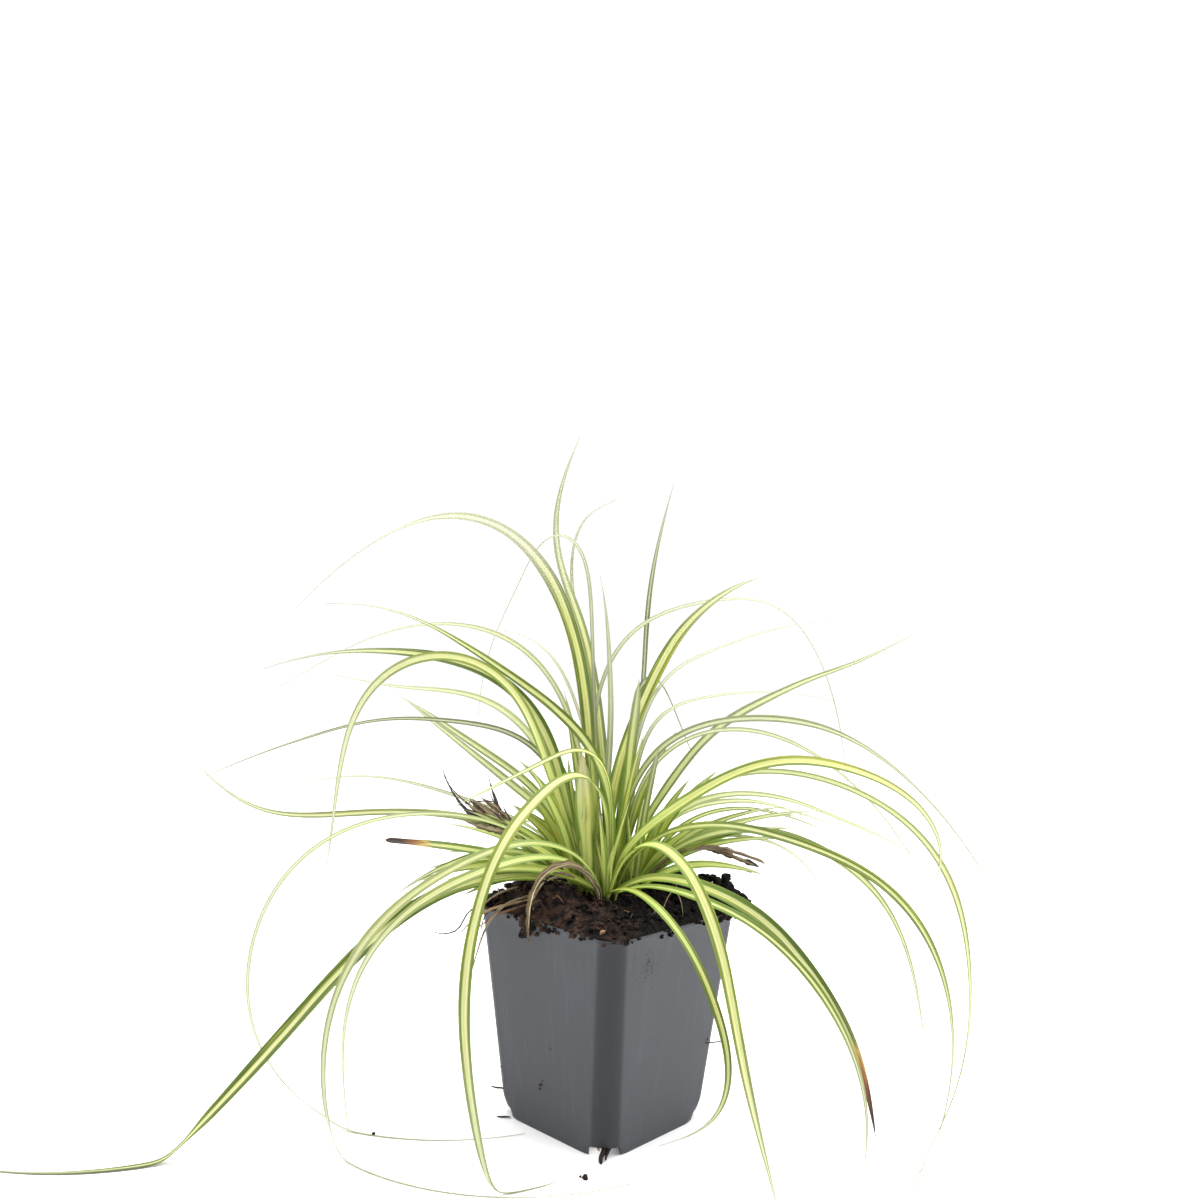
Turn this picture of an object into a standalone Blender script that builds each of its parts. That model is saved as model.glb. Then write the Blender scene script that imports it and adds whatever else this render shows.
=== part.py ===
"""Variegated sedge in a square nursery pot.

Frame: origin at the middle of the pot's underside, +Z up, metres.
The pot stands on one corner-forward diagonal: a corner of the square points
along -Y (the front).  Everything is one rigid, resting object.

The plant is a clump of five shoots.  Every blade grows out of its shoot in
one upright plane (its azimuth, degrees counter-clockwise from +X seen from
above) and arches over under its own weight.  A blade is given by its length
and by how far it has bent from upright at even parts of that length; its
line is stepped out from those, and where it reaches the floor it lies on it.
"""
import math
import bpy
import bmesh
import numpy as np
from mathutils import Vector, Matrix, noise

MM = 0.001

# ---------------------------------------------------------------- dimensions
POT_H = 97.0            # height of the pot
POT_TOP = 45.0          # half of the side at the rim
POT_BASE = 35.0         # half of the side at the floor
POT_CORNER = 9.5        # radius of the four upright corners
POT_WALL = 1.0          # moulded wall
POT_YAW = 46.5          # a corner faces the front
RIM_LIP = 0.4           # the rim bead stands this proud
RIM_H = 1.6             # height of the rim bead
NOTCH_W = 13.5          # drainage notch across each bottom corner
NOTCH_H = 4.4
NOTCH_IN = 10.0         # how far each notch reaches in under the corner
FOOT_CORNER = 16.0      # the corners round off more towards the foot
FOOT_H = 9.0            # and reach their own radius at this height
DRAIN_D = 7.0           # round drainage holes in the base
DRAIN_R = 20.0          # their distance from the middle

GAP = 0.3               # clearance between neighbouring solids
CROWN_Z = 106.0         # flat top of the crown, where the blades start
CROWN_C = (-2.0, 2.0)   # the crown sits a little left and back of the axis
CROWN_R = 21.5
BLADE_T = 0.8           # blade thickness
FLOOR_Z = 1.2           # mid-plane of a blade that lies on the floor
STRIDE = 3.0            # step in which a blade's line is laid out
FOLD = 0.20             # height of the channel fold over the half width

SHOOTS = {              # where each shoot stands, mm from the pot's axis
    "F": (-1.0, -8.0),
    "L": (-13.0, 2.0),
    "M": (-6.0, 6.0),
    "M2": (-3.0, 10.0),
    "M3": (-2.0, 3.0),
    "B": (0.0, 13.0),
    "B2": (4.0, 15.5),
    "B3": (0.0, 17.5),
    "R": (10.0, 4.0),
    "R2": (11.0, 10.5),
    "O": (0.0, 0.0),
}

LATE = 1.7              # how late a blade narrows to its tip
NARROWING = {           # blades that keep their width longer, or lose it sooner
    "leaf_left_brown_tip": 6.0, "leaf_right_low_wide": 3.0, "leaf_front_left_hanging": 3.6,
    "leaf_front_right": 2.4, "leaf_right_tall": 3.4, "leaf_right_arch": 2.8,
    "leaf_inner_short_left": 3.4, "leaf_front_crossing": 1.3, "leaf_right_drooping": 3.0,
    "leaf_stub_green": 8.0, "leaf_stub_grey": 6.0, "leaf_back_bent": 2.4,
    "leaf_back_mint": 2.2, "leaf_left_loop_a": 0.55, "leaf_left_loop_b": 0.55,
    "leaf_left_pale_c": 2.6, "leaf_left_pale_b": 2.4, "leaf_back_upright": 2.2,
    "leaf_left_great_loop": 2.4, "leaf_back_great_arch": 2.4, "leaf_inner_pale": 5.0,
    "dead_leaf_right": 3.5, "dead_leaf_arch": 3.0,
}

# One row is one blade:
#   name, shoot, azimuth, length mm, widest mm, roll at base / middle / tip,
#   foot (out, side[, height]) from the shoot,
#   bend: its angle from upright at even parts of its length
#         (0 stands up, 90 level, 180 hangs, over 180 curls back under),
#   trail: on the floor, how far it turns off its own line, first and last
BLADES = [
    # ---- front shoot
    ("leaf_front_crossing", "F", 166, 230, 4.4, (60, 65, 20), (-1, -3),
     (0, 5, 35, 55, 60, 65, 80, 95)),
    ("leaf_left_long", "F", 196, 318, 6.6, (30, 58, 0), (6, 0),
     (66, 95, 124, 138, 138, 135, 120, 92), (12, -35)),
    ("leaf_left_loop_a", "F", 200, 360, 4.4, (30, 55, 0), (3.5, 0.5),
     (20, 98, 126, 162, 192, 222, 262, 270), (-64, 10)),
    ("leaf_left_loop_b", "F", 207, 248, 4.4, (30, 55, 0), (6, 2.5),
     (25, 88, 108, 130, 165, 186, 190, 200), (-80, -60)),
    ("leaf_front_left_hanging", "F", 238, 312, 4.6, (20, 35, 0), (1.5, 1),
     (5, 8, 60, 104, 122, 146, 166, 184, 194, 200, 204, 206), (-40, -20)),
    ("leaf_front_short", "F", 305, 180, 3.6, (-20, -30, 0), (5.5, -2.5),
     (60, 100, 120, 140, 160, 210, 235, 240)),
    ("leaf_front_right", "F", 306, 205, 5.2, (-20, -30, 0), (4, -0.5),
     (20, 60, 115, 145, 160, 160, 155, 155)),
    ("leaf_right_low_thin", "F", 325, 195, 3.6, (-30, -45, 0), (7, -1.5),
     (60, 92, 103, 121, 138, 158, 180, 196)),
    ("leaf_right_low_wide", "F", 335, 178, 6.2, (-30, -50, -50), (5.5, 0.5),
     (50, 88, 106, 124, 138, 150, 164, 170)),
    ("leaf_right_long_dark", "F", 340, 285, 4.4, (-40, -50, 0), (4, 4),
     (15, 68, 98, 112, 146, 174, 192, 206), (20, 30)),
    ("leaf_right_arch", "F", 345, 214, 5.6, (-55, -50, -20), (2.5, 1.5),
     (5, 45, 55, 70, 95, 115, 158, 228)),
    ("leaf_inner_short_left", "F", 212, 142, 3.0, (30, 40, 20), (-1, 0.5),
     (0, 0, 5, 40, 104, 112, 112, 110)),
    ("leaf_inner_pale", "F", 170, 63, 5.6, (75, 80, 80), (8.5, -0.5),
     (5, 5, 5, 5)),
    # ---- middle shoots
    ("leaf_tall_arch", "M", 145, 372, 6.6, (75, 80, 10), (0, 0),
     (4, 6, 16, 42, 77, 104, 118, 127)),
    ("leaf_tall_back", "B", 120, 250, 6.0, (65, 70, 40), (-1, 0),
     (5, 10, 15, 25, 40, 25, -25, -45)),
    ("leaf_thin_left_a", "M", 150, 305, 2.6, (60, 50, 20), (2, 3.5),
     (0, 10, 30, 65, 90, 105, 115, 115)),
    ("leaf_left_pale_a", "M2", 146, 230, 3.8, (55, 45, 30), (6, 1),
     (15, 30, 40, 65, 85, 90, 85, 85)),
    ("leaf_right_tall", "M3", 30, 190, 5.6, (-70, -70, -30), (0, 0),
     (0, 5, 15, 25, 30, 45, 60, 75)),
    # ---- left shoot
    ("leaf_left_upper", "L", 168, 240, 6.0, (65, 65, 20), (0, 0),
     (10, 15, 25, 55, 80, 90, 100, 110)),
    ("leaf_left_hook", "L", 188, 275, 4.6, (60, 70, 60), (1, 3),
     (10, 20, 25, 65, 120, 165, 175, 175)),
    ("leaf_left_pale_b", "L", 152, 150, 4.0, (50, 50, 30), (2.5, -3),
     (20, 35, 60, 65, 65, 70)),
    ("leaf_left_pale_c", "L", 142, 160, 4.0, (50, 50, 30), (-1, -5),
     (25, 55, 65, 65, 65, 65)),
    ("leaf_left_dark_long", "L", 164, 300, 3.2, (40, 35, 10), (3.5, -1),
     (10, 20, 75, 90, 105, 110, 115, 120)),
    ("leaf_left_wavy", "L", 182, 205, 3.8, (40, 50, 40), (5, 0),
     (35, 60, 80, 90, 95, 85, 55, 45)),
    ("leaf_left_thin_grey", "L", 150, 265, 2.0, (40, 40, 20), (4.5, -3.5),
     (30, 70, 80, 85, 95, 105, 110, 120)),
    ("leaf_left_great_loop", "L", 193, 370, 2.2, (40, 50, 0), (5.5, 2.5),
     (30, 75, 105, 150, 190, 230, 250, 260), (-35, 10)),
    ("leaf_left_brown_tip", "L", 200, 94, 4.0, (40, 50, 40), (6, 5),
     (50, 66, 76, 80, 82, 84)),
    ("leaf_left_low_short", "L", 189, 95, 4.0, (30, 45, 30), (6.5, 0.5),
     (35, 65, 95, 110, 120, 130)),
    # ---- back shoots
    ("leaf_back_drooping", "M2", 140, 330, 1.8, (60, 50, 20), (0, 1),
     (5, 5, 5, 5, 6, 40, 135, 148, 160, 176, 180)),
    ("leaf_back_faint", "B2", 118, 235, 2.4, (60, 50, 20), (3, 0),
     (10, 20, 20, 25, 25, 0, -70, -80)),
    ("leaf_back_thin_left", "B2", 130, 170, 1.8, (60, 50, 20), (5, 1),
     (15, 15, 25, 40, 70, 85)),
    ("leaf_back_upright", "B2", 66, 220, 3.2, (-60, -60, -50), (-1, 0),
     (-5, 20, 25, 10, 5, 20, 30, 35)),
    ("leaf_back_great_arch", "B3", 40, 405, 2.0, (-60, -50, -10), (-2, 6),
     (-5, -5, 15, 60, 80, 94, 128, 152, 166, 170)),
    ("leaf_back_thin_right", "B2", 48, 280, 1.8, (-60, -40, -10), (1, -2.5),
     (0, 8, 28, 68, 76, 80, 83, 85)),
    ("leaf_back_pale_right", "R2", 38, 220, 2.0, (-60, -40, -10), (-2, 1),
     (0, 5, 20, 70, 85, 90, 95, 100)),
    ("leaf_back_mint", "M2", 0, 150, 3.2, (-70, -70, -60), (1, -1.5),
     (0, 0, 2, -3, -6, -15)),
    ("leaf_back_bent", "R2", 47, 178, 3.0, (-60, -60, -30), (-1, 3.5),
     (0, 2, 4, 6, 12, 120, 146, 146, 144)),
    ("leaf_back_low_right", "B3", 70, 150, 4.0, (-20, -20, -10), (2.5, -8),
     (40, 80, 105, 125, 145, 160)),
    ("leaf_back_low_middle", "B3", 100, 185, 4.6, (10, 15, 0), (3.5, 1),
     (30, 75, 100, 125, 145, 150)),
    ("leaf_back_low_left", "M2", 122, 160, 4.2, (20, 20, 10), (8, 3),
     (40, 75, 100, 125, 145, 160)),
    # ---- right shoots
    ("leaf_right_upper", "R", 32, 245, 4.2, (-50, -50, -30), (0, 0.5),
     (0, 35, 45, 65, 70, 75, 70, 70)),
    ("leaf_right_far", "R", 8, 315, 3.8, (-50, -45, -20), (-4, -1),
     (-5, 20, 70, 95, 120, 135, 145, 145)),
    ("leaf_right_dull_arch", "R", 2, 270, 2.6, (-50, -40, -20), (-2.5, -3),
     (0, 15, 60, 100, 125, 140, 155, 170)),
    ("leaf_right_outer_loop", "R", 346, 350, 3.0, (-50, -50, 0), (2, -3.5),
     (10, 50, 92, 122, 162, 182, 203, 220), (75, 80)),
    ("leaf_right_pale_a", "R", 30, 240, 3.8, (-40, -40, -30), (3.5, 2.5),
     (10, 55, 85, 100, 110, 110, 115, 115)),
    ("leaf_right_pale_b", "R", 42, 220, 3.2, (-40, -40, -30), (5, 5),
     (20, 60, 85, 95, 105, 105, 110, 110)),
    ("leaf_right_pale_c", "R", 20, 135, 2.6, (-40, -40, -30), (5.5, 1),
     (20, 50, 80, 100, 110, 115)),
    ("leaf_right_thin_low", "R", 12, 170, 1.8, (-40, -40, -20), (8, 0.5),
     (35, 60, 90, 110, 140, 145, 150, 200)),
    ("leaf_right_drooping", "R", 350, 206, 4.0, (-40, -45, -30), (4.5, -1.5),
     (30, 60, 85, 110, 130, 155, 168, 172)),
    ("leaf_stub_green", "R2", 0, 100, 4.6, (-75, -75, -75), (-8, -11),
     (5, 5, 5, 5)),
    ("leaf_stub_grey", "R", 0, 68, 3.4, (-65, -65, -60), (3, -8.5),
     (5, 5, 10, 10)),
    # ---- withered blades
    ("dead_leaf_arch", "F", 208, 70, 4.2, (10, 30, 20), (8, 5.5),
     (22, 44, 78, 112, 152, 174, 182, 184)),
    ("dead_leaf_right", "R", 354, 66, 4.8, (-20, -10, 0), (7.5, -3),
     (25, 45, 75, 92, 104, 112)),
    ("dead_leaf_stub_a", "L", 170, 65, 3.0, (30, 40, 60), (7.5, -2.5),
     (30, 45, 55, 55, 30, 5)),
    ("dead_leaf_stub_b", "L", 176, 80, 3.6, (30, 40, 60), (8.5, -1),
     (35, 50, 60, 60, 50, 20)),
    ("dead_strand_left", "O", 208, 64, 1.6, (10, 10, 10), (34, 0, 107),
     (105, 100, 140, 162, 164, 166)),
    ("dead_strand_rim", "O", 188, 30, 1.8, (10, 10, 10), (40, 0, 107),
     (100, 110, 120, 150, 160)),
]


# ------------------------------------------------------------------- helpers
def clear_scene():
    for ob in list(bpy.data.objects):
        bpy.data.objects.remove(ob, do_unlink=True)


def material(name, rgb, rough, metal=0.0):
    mat = bpy.data.materials.new(name)
    mat.use_nodes = True
    bsdf = mat.node_tree.nodes["Principled BSDF"]
    bsdf.inputs["Base Color"].default_value = (*rgb, 1.0)
    bsdf.inputs["Roughness"].default_value = rough
    bsdf.inputs["Metallic"].default_value = metal
    mat.diffuse_color = (*rgb, 1.0)
    return mat


def add_object(name, mesh, coll, mat):
    ob = bpy.data.objects.new(name, mesh)
    coll.objects.link(ob)
    mesh.materials.append(mat)
    return ob


def smooth_values(values, count):
    """Natural cubic through evenly spaced values, read at `count` even places."""
    y = np.array(values, float)
    n = len(y)
    a = np.zeros((n, n))
    b = np.zeros(n)
    a[0, 0] = a[-1, -1] = 1.0
    for i in range(1, n - 1):
        a[i, i - 1:i + 2] = 1.0, 4.0, 1.0
        b[i] = 6.0 * (y[i + 1] - 2.0 * y[i] + y[i - 1])
    m = np.linalg.solve(a, b)
    out = []
    for s in np.linspace(0.0, n - 1.0, count):
        i = min(int(s), n - 2)
        u, v = i + 1.0 - s, s - i
        out.append(m[i] * u ** 3 / 6 + m[i + 1] * v ** 3 / 6
                   + (y[i] - m[i] / 6) * u + (y[i + 1] - m[i + 1] / 6) * v)
    return out


def blade_width(t, widest, late=LATE):
    """Narrow sheathed foot, widest at a third, drawn out to a fine tip."""
    foot = 0.42 + 0.58 * min(1.0, t / 0.22) ** 1.5
    tip = 1.0 if t < 0.38 else max(0.0, 1.0 - ((t - 0.38) / 0.62) ** late)
    return max(0.8, widest * foot * tip)


def grow(row):
    """Centre line of a blade, stepped out from its foot by its bend angles.

    Where it comes down to the floor it lies along it, turning by its trail.
    """
    name, shoot, azimuth, length, widest, roll, foot, bend = row[:8]
    trail = row[8] if len(row) > 8 else (0.0, 0.0)
    cx, cy = SHOOTS[shoot]
    a = math.radians(azimuth)
    out = Vector((math.cos(a), math.sin(a), 0.0))
    side = Vector((-math.sin(a), math.cos(a), 0.0))
    p = Vector((cx, cy, foot[2] if len(foot) > 2 else CROWN_Z + GAP + 0.1))
    p += out * foot[0] + side * foot[1]
    count = int(round(length / STRIDE)) + 1
    step = length / (count - 1)
    line = [p.copy()]
    landed = None
    for i, lean in enumerate(smooth_values(bend, count)[:-1]):
        lean = math.radians(lean)
        if landed is None:
            ahead = out * math.sin(lean) + Vector((0, 0, math.cos(lean)))
            if p.z + ahead.z * step < FLOOR_Z:
                landed = (i, azimuth + (180.0 if math.sin(lean) < 0 else 0.0))
        if landed is not None:
            k = (i - landed[0]) / max(1, count - 2 - landed[0])
            h = math.radians(landed[1] + trail[0] + (trail[1] - trail[0]) * k)
            ahead = Vector((math.cos(h), math.sin(h), 0.0))
            p.z = FLOOR_Z
        p = p + ahead * step
        line.append(p.copy())
    for _ in range(6):          # ease the turn onto the floor
        line = [line[0]] + [(line[i - 1] + line[i] * 2 + line[i + 1]) / 4
                            for i in range(1, len(line) - 1)] + [line[-1]]
    return line, side


def sample(line, count):
    """Read a fine line at `count` even places."""
    last = len(line) - 1
    out = []
    for i in range(count):
        s = last * i / (count - 1)
        j = min(int(s), last - 1)
        out.append(line[j].lerp(line[j + 1], s - j))
    return out


def make_blade(row, coll, mat):
    name, shoot, azimuth, length, widest, roll, foot, bend = row[:8]
    line, across = grow(row)
    steps = int(min(18, max(6, round(length / 15.0))))
    pts = sample(line, steps + 1)
    bm = bmesh.new()
    columns = 2 if widest >= 4.4 else 1
    bmesh.ops.create_grid(bm, x_segments=columns, y_segments=steps, size=1.0)
    side = across.copy()
    frames = []
    for i in range(steps + 1):
        ahead = pts[min(i + 1, steps)] - pts[max(i - 1, 0)]
        if i == 0 and len(foot) < 3:
            ahead = Vector((0, 0, 1))
        ahead.normalize()
        side = (side - ahead * side.dot(ahead)).normalized()
        up = side.cross(ahead).normalized()
        t = i / steps
        ang = np.interp(t, [0.0, 0.45, 1.0], roll)
        if pts[i].z < 6.0:
            ang = 0.0
        ang = math.radians(ang)
        wide = side * math.cos(ang) + up * math.sin(ang)
        frames.append((pts[i], wide, ahead.cross(wide).normalized(), t))
    for v in bm.verts:
        i = int(round((v.co.y + 1.0) * 0.5 * steps))
        p, wide, up, t = frames[i]
        half = 0.5 * blade_width(t, widest, NARROWING.get(name, LATE))
        lift = FOLD * half * abs(v.co.x) * (1.0 if up.z >= 0 else -1.0) if columns == 2 else 0.0
        v.co = (p + wide * (v.co.x * half) + up * lift) * MM
    mesh = bpy.data.meshes.new(name)
    bm.to_mesh(mesh)
    bm.free()
    ob = add_object(name, mesh, coll, mat)
    sol = ob.modifiers.new("thickness", "SOLIDIFY")
    sol.thickness = BLADE_T * MM
    sol.offset = 0.0
    return ob


def square_loop(half, radius, z, per_corner=5):
    """Rounded square, turned so that a corner faces the front."""
    pts = []
    yaw = math.radians(POT_YAW)
    for q in range(4):
        mid = math.radians(45 + 90 * q)
        cx = (half - radius) * math.sqrt(2) * math.cos(mid)
        cy = (half - radius) * math.sqrt(2) * math.sin(mid)
        for j in range(per_corner):
            ang = mid + math.radians(-45 + 90 * j / (per_corner - 1))
            x, y = cx + radius * math.cos(ang), cy + radius * math.sin(ang)
            pts.append(Vector((x * math.cos(yaw) - y * math.sin(yaw),
                               x * math.sin(yaw) + y * math.cos(yaw), z)) * MM)
    return pts


def loft(name, rings, coll, mat):
    """Closed body through rounded-square rings, capped at both ends."""
    bm = bmesh.new()
    loops = [[bm.verts.new(p) for p in ring] for ring in rings]
    n = len(loops[0])
    for a, b in zip(loops, loops[1:]):
        for i in range(n):
            bm.faces.new((a[i], a[(i + 1) % n], b[(i + 1) % n], b[i]))
    bm.faces.new(list(reversed(loops[0])))
    bm.faces.new(loops[-1])
    bmesh.ops.recalc_face_normals(bm, faces=bm.faces)
    mesh = bpy.data.meshes.new(name)
    bm.to_mesh(mesh)
    bm.free()
    return add_object(name, mesh, coll, mat)


def half_at(z):
    return POT_BASE + (POT_TOP - POT_BASE) * z / POT_H


def cut(target, cutter):
    cutter.hide_render = True
    cutter.display_type = "WIRE"
    mod = target.modifiers.new("cut_" + cutter.name, "BOOLEAN")
    mod.operation = "DIFFERENCE"
    mod.solver = "EXACT"
    mod.object = cutter


def notch_box(q, cutters, grow_by=0.0, height=NOTCH_H):
    """Block that opens one bottom corner; the soil's is larger and taller."""
    ang = math.radians(POT_YAW + 45 + 90 * q)
    reach = half_at(0.0) * math.sqrt(2) - FOOT_CORNER * (math.sqrt(2) - 1)
    length = 2 * (NOTCH_IN + grow_by)
    bpy.ops.mesh.primitive_cube_add(size=1.0)
    box = bpy.context.object
    box.name = "notch_%d" % q
    box.data.transform(Matrix.Diagonal((length * MM, (NOTCH_W + 2 * grow_by) * MM,
                                        2 * height * MM, 1.0)))
    box.location = Vector((math.cos(ang) * reach, math.sin(ang) * reach, 0.0)) * MM
    box.rotation_euler = (0, 0, ang)
    for c in list(box.users_collection):
        c.objects.unlink(box)
    cutters.objects.link(box)
    return box


def make_pot(coll, cutters, mat):
    base_t = 1.2
    lip_z = POT_H - RIM_H
    rings = [square_loop(half_at(0.0), FOOT_CORNER, 0.0),
             square_loop(half_at(FOOT_H), POT_CORNER, FOOT_H),
             square_loop(half_at(lip_z), POT_CORNER, lip_z),
             square_loop(half_at(lip_z) + RIM_LIP, POT_CORNER + RIM_LIP, lip_z + 0.5),
             square_loop(half_at(POT_H) + RIM_LIP, POT_CORNER + RIM_LIP, POT_H),
             square_loop(half_at(POT_H) - POT_WALL, POT_CORNER - POT_WALL, POT_H),
             square_loop(half_at(FOOT_H) - POT_WALL, POT_CORNER - POT_WALL, FOOT_H),
             square_loop(half_at(base_t) - POT_WALL, FOOT_CORNER - POT_WALL, base_t)]
    pot = loft("pot", rings, coll, mat)
    for q in range(4):
        cut(pot, notch_box(q, cutters))
    for q in range(4):
        ang = math.radians(POT_YAW + 90 * q)
        bpy.ops.mesh.primitive_cylinder_add(vertices=16, radius=DRAIN_D / 2 * MM, depth=6 * MM)
        hole = bpy.context.object
        hole.name = "drain_%d" % q
        hole.location = Vector((math.cos(ang) * DRAIN_R, math.sin(ang) * DRAIN_R, 0.0)) * MM
        for c in list(hole.users_collection):
            c.objects.unlink(hole)
        cutters.objects.link(hole)
        cut(pot, hole)
    return pot


def bump(x, y, cx, cy, rx, ry, height):
    d = ((x - cx) / rx) ** 2 + ((y - cy) / ry) ** 2
    return height * math.exp(-d)


def soil_height(x, y):
    """Heaped peat: a mound each side of the crown, a hollow around it."""
    z = 99.5
    z += bump(x, y, -26, 4, 13, 13, 13.0)
    z += bump(x, y, 30, 10, 17, 13, 12.0)
    z += bump(x, y, 46, 2, 13, 12, 7.0)
    z += bump(x, y, 0, 32, 22, 12, 8.0)
    z += noise.noise(Vector((x, y, 3.0)) * 0.11) * 1.6
    r = math.hypot(x - CROWN_C[0], y - CROWN_C[1])
    if r < CROWN_R + 9.0:
        k = min(1.0, max(0.0, (r - CROWN_R - 4.0) / 5.0))
        z = (CROWN_Z - 7.0) * (1 - k) + z * k
    return z


def make_soil(coll, cutters, mat):
    n = 18
    bm = bmesh.new()
    bmesh.ops.create_grid(bm, x_segments=n, y_segments=n, size=1.0)
    yaw = math.radians(POT_YAW)
    inner = half_at(POT_H) - POT_WALL - 0.6
    low = half_at(1.2) - POT_WALL - 0.6

    def place(u, v, half, radius):
        # pull the square grid's corners in to the rounded corners
        m = max(abs(u), abs(v))
        if m > 1e-6:
            c = min(abs(u), abs(v)) / m
            k = 1.0 - (radius / half) * (1 - 1 / math.sqrt(2)) * c ** 6 * m
        else:
            k = 1.0
        x, y = u * half * k, v * half * k
        return x * math.cos(yaw) - y * math.sin(yaw), x * math.sin(yaw) + y * math.cos(yaw)

    uv = {v: (v.co.x, v.co.y) for v in bm.verts}
    for v in bm.verts:
        u, w = uv[v]
        x, y = place(u, w, inner, POT_CORNER + 2.0)
        z = soil_height(x, y)
        edge = max(abs(u), abs(w))
        if edge > 0.88:
            z = 96.0 + (z - 96.0) * (1.0 - (edge - 0.88) / 0.12)
        v.co = Vector((x, y, z)) * MM
    res = bmesh.ops.extrude_face_region(bm, geom=list(bm.faces))
    new = [g for g in res["geom"] if isinstance(g, bmesh.types.BMVert)]
    for v in new:
        # the copied sheet becomes the flat underside
        x, y = v.co.x / MM, v.co.y / MM
        k = low / inner
        v.co = Vector((x * k, y * k, 1.2 + GAP)) * MM
    bmesh.ops.recalc_face_normals(bm, faces=bm.faces)
    mesh = bpy.data.meshes.new("soil")
    bm.to_mesh(mesh)
    bm.free()
    soil = add_object("soil", mesh, coll, mat)
    for q in range(4):
        cut(soil, notch_box(q, cutters, 0.5, FOOT_H + 0.5))
    return soil


def make_crown(coll, mat):
    bm = bmesh.new()
    bmesh.ops.create_cone(bm, cap_ends=True, segments=24, radius1=CROWN_R * MM,
                          radius2=(CROWN_R - 1.0) * MM, depth=(6.5 - GAP - 0.2) * MM)
    mesh = bpy.data.meshes.new("crown")
    bm.to_mesh(mesh)
    bm.free()
    ob = add_object("crown", mesh, coll, mat)
    ob.location = (CROWN_C[0] * MM, CROWN_C[1] * MM, (CROWN_Z - (6.5 - GAP - 0.2) / 2) * MM)
    return ob


def main():
    clear_scene()
    coll = bpy.data.collections.new("carex_sedge")
    cutters = bpy.data.collections.new("cutters")
    bpy.context.scene.collection.children.link(coll)
    bpy.context.scene.collection.children.link(cutters)

    plastic = material("pot_plastic", (0.10, 0.105, 0.12), 0.55)
    peat = material("peat", (0.03, 0.018, 0.012), 0.95)
    crown_mat = material("crown_straw", (0.42, 0.40, 0.18), 0.7)
    green = material("blade_variegated", (0.46, 0.56, 0.16), 0.5)
    dead = material("blade_dead", (0.30, 0.20, 0.11), 0.8)

    make_pot(coll, cutters, plastic)
    make_soil(coll, cutters, peat)
    make_crown(coll, crown_mat)
    for row in BLADES:
        make_blade(row, coll, dead if row[0].startswith("dead") else green)
    bpy.context.view_layer.update()


main()
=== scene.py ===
"""Looks of a variegated sedge in its square nursery pot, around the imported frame.

Lengths in the tables are millimetres; meshes are made in metres.
"""
import math
import random

import bpy
import bmesh
import numpy as np
from mathutils import Matrix, Vector, noise


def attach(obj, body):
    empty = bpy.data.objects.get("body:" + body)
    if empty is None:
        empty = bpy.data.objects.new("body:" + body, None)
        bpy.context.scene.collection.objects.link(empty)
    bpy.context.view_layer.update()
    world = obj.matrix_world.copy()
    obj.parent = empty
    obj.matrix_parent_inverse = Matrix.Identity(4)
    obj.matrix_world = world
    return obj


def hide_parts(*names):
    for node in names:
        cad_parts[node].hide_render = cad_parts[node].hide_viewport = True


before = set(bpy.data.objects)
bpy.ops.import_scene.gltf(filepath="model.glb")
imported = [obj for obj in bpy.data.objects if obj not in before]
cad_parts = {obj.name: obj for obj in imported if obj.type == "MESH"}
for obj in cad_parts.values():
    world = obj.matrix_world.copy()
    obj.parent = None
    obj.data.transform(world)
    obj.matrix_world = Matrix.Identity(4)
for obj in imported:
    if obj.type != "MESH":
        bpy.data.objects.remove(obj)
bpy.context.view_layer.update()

MM = 0.001
ROOT = "root"

# ------------------------------------------------------------------ the part's own dimensions
POT_H, POT_TOP, POT_BASE, POT_CORNER = 97.0, 45.0, 35.0, 9.5
POT_WALL, POT_YAW, RIM_LIP, RIM_H = 1.0, 46.5, 0.4, 1.6
NOTCH_W, NOTCH_H, NOTCH_IN, DRAIN_D, DRAIN_R = 13.5, 4.4, 10.0, 7.0, 20.0
FOOT_CORNER, FOOT_H = 16.0, 9.0
GAP, CROWN_Z, CROWN_C, CROWN_R = 0.3, 106.0, (-2.0, 2.0), 21.5
FLOOR_Z, STRIDE, FOLD = 1.2, 3.0, 0.20

SHOOTS = {              # where each shoot stands, mm from the pot's axis
    "F": (-1.0, -8.0),
    "L": (-13.0, 2.0),
    "M": (-6.0, 6.0),
    "M2": (-3.0, 10.0),
    "M3": (-2.0, 3.0),
    "B": (0.0, 13.0),
    "B2": (4.0, 15.5),
    "B3": (0.0, 17.5),
    "R": (10.0, 4.0),
    "R2": (11.0, 10.5),
    "O": (0.0, 0.0),
}

LATE = 1.7              # how late a blade narrows to its tip
NARROWING = {           # blades that keep their width longer, or lose it sooner
    "leaf_left_brown_tip": 6.0, "leaf_right_low_wide": 3.0, "leaf_front_left_hanging": 3.6,
    "leaf_front_right": 2.4, "leaf_right_tall": 3.4, "leaf_right_arch": 2.8,
    "leaf_inner_short_left": 3.4, "leaf_front_crossing": 1.3, "leaf_right_drooping": 3.0,
    "leaf_stub_green": 8.0, "leaf_stub_grey": 6.0, "leaf_back_bent": 2.4,
    "leaf_back_mint": 2.2, "leaf_left_loop_a": 0.55, "leaf_left_loop_b": 0.55,
    "leaf_left_pale_c": 2.6, "leaf_left_pale_b": 2.4, "leaf_back_upright": 2.2,
    "leaf_left_great_loop": 2.4, "leaf_back_great_arch": 2.4, "leaf_inner_pale": 5.0,
    "dead_leaf_right": 3.5, "dead_leaf_arch": 3.0,
}

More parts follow.
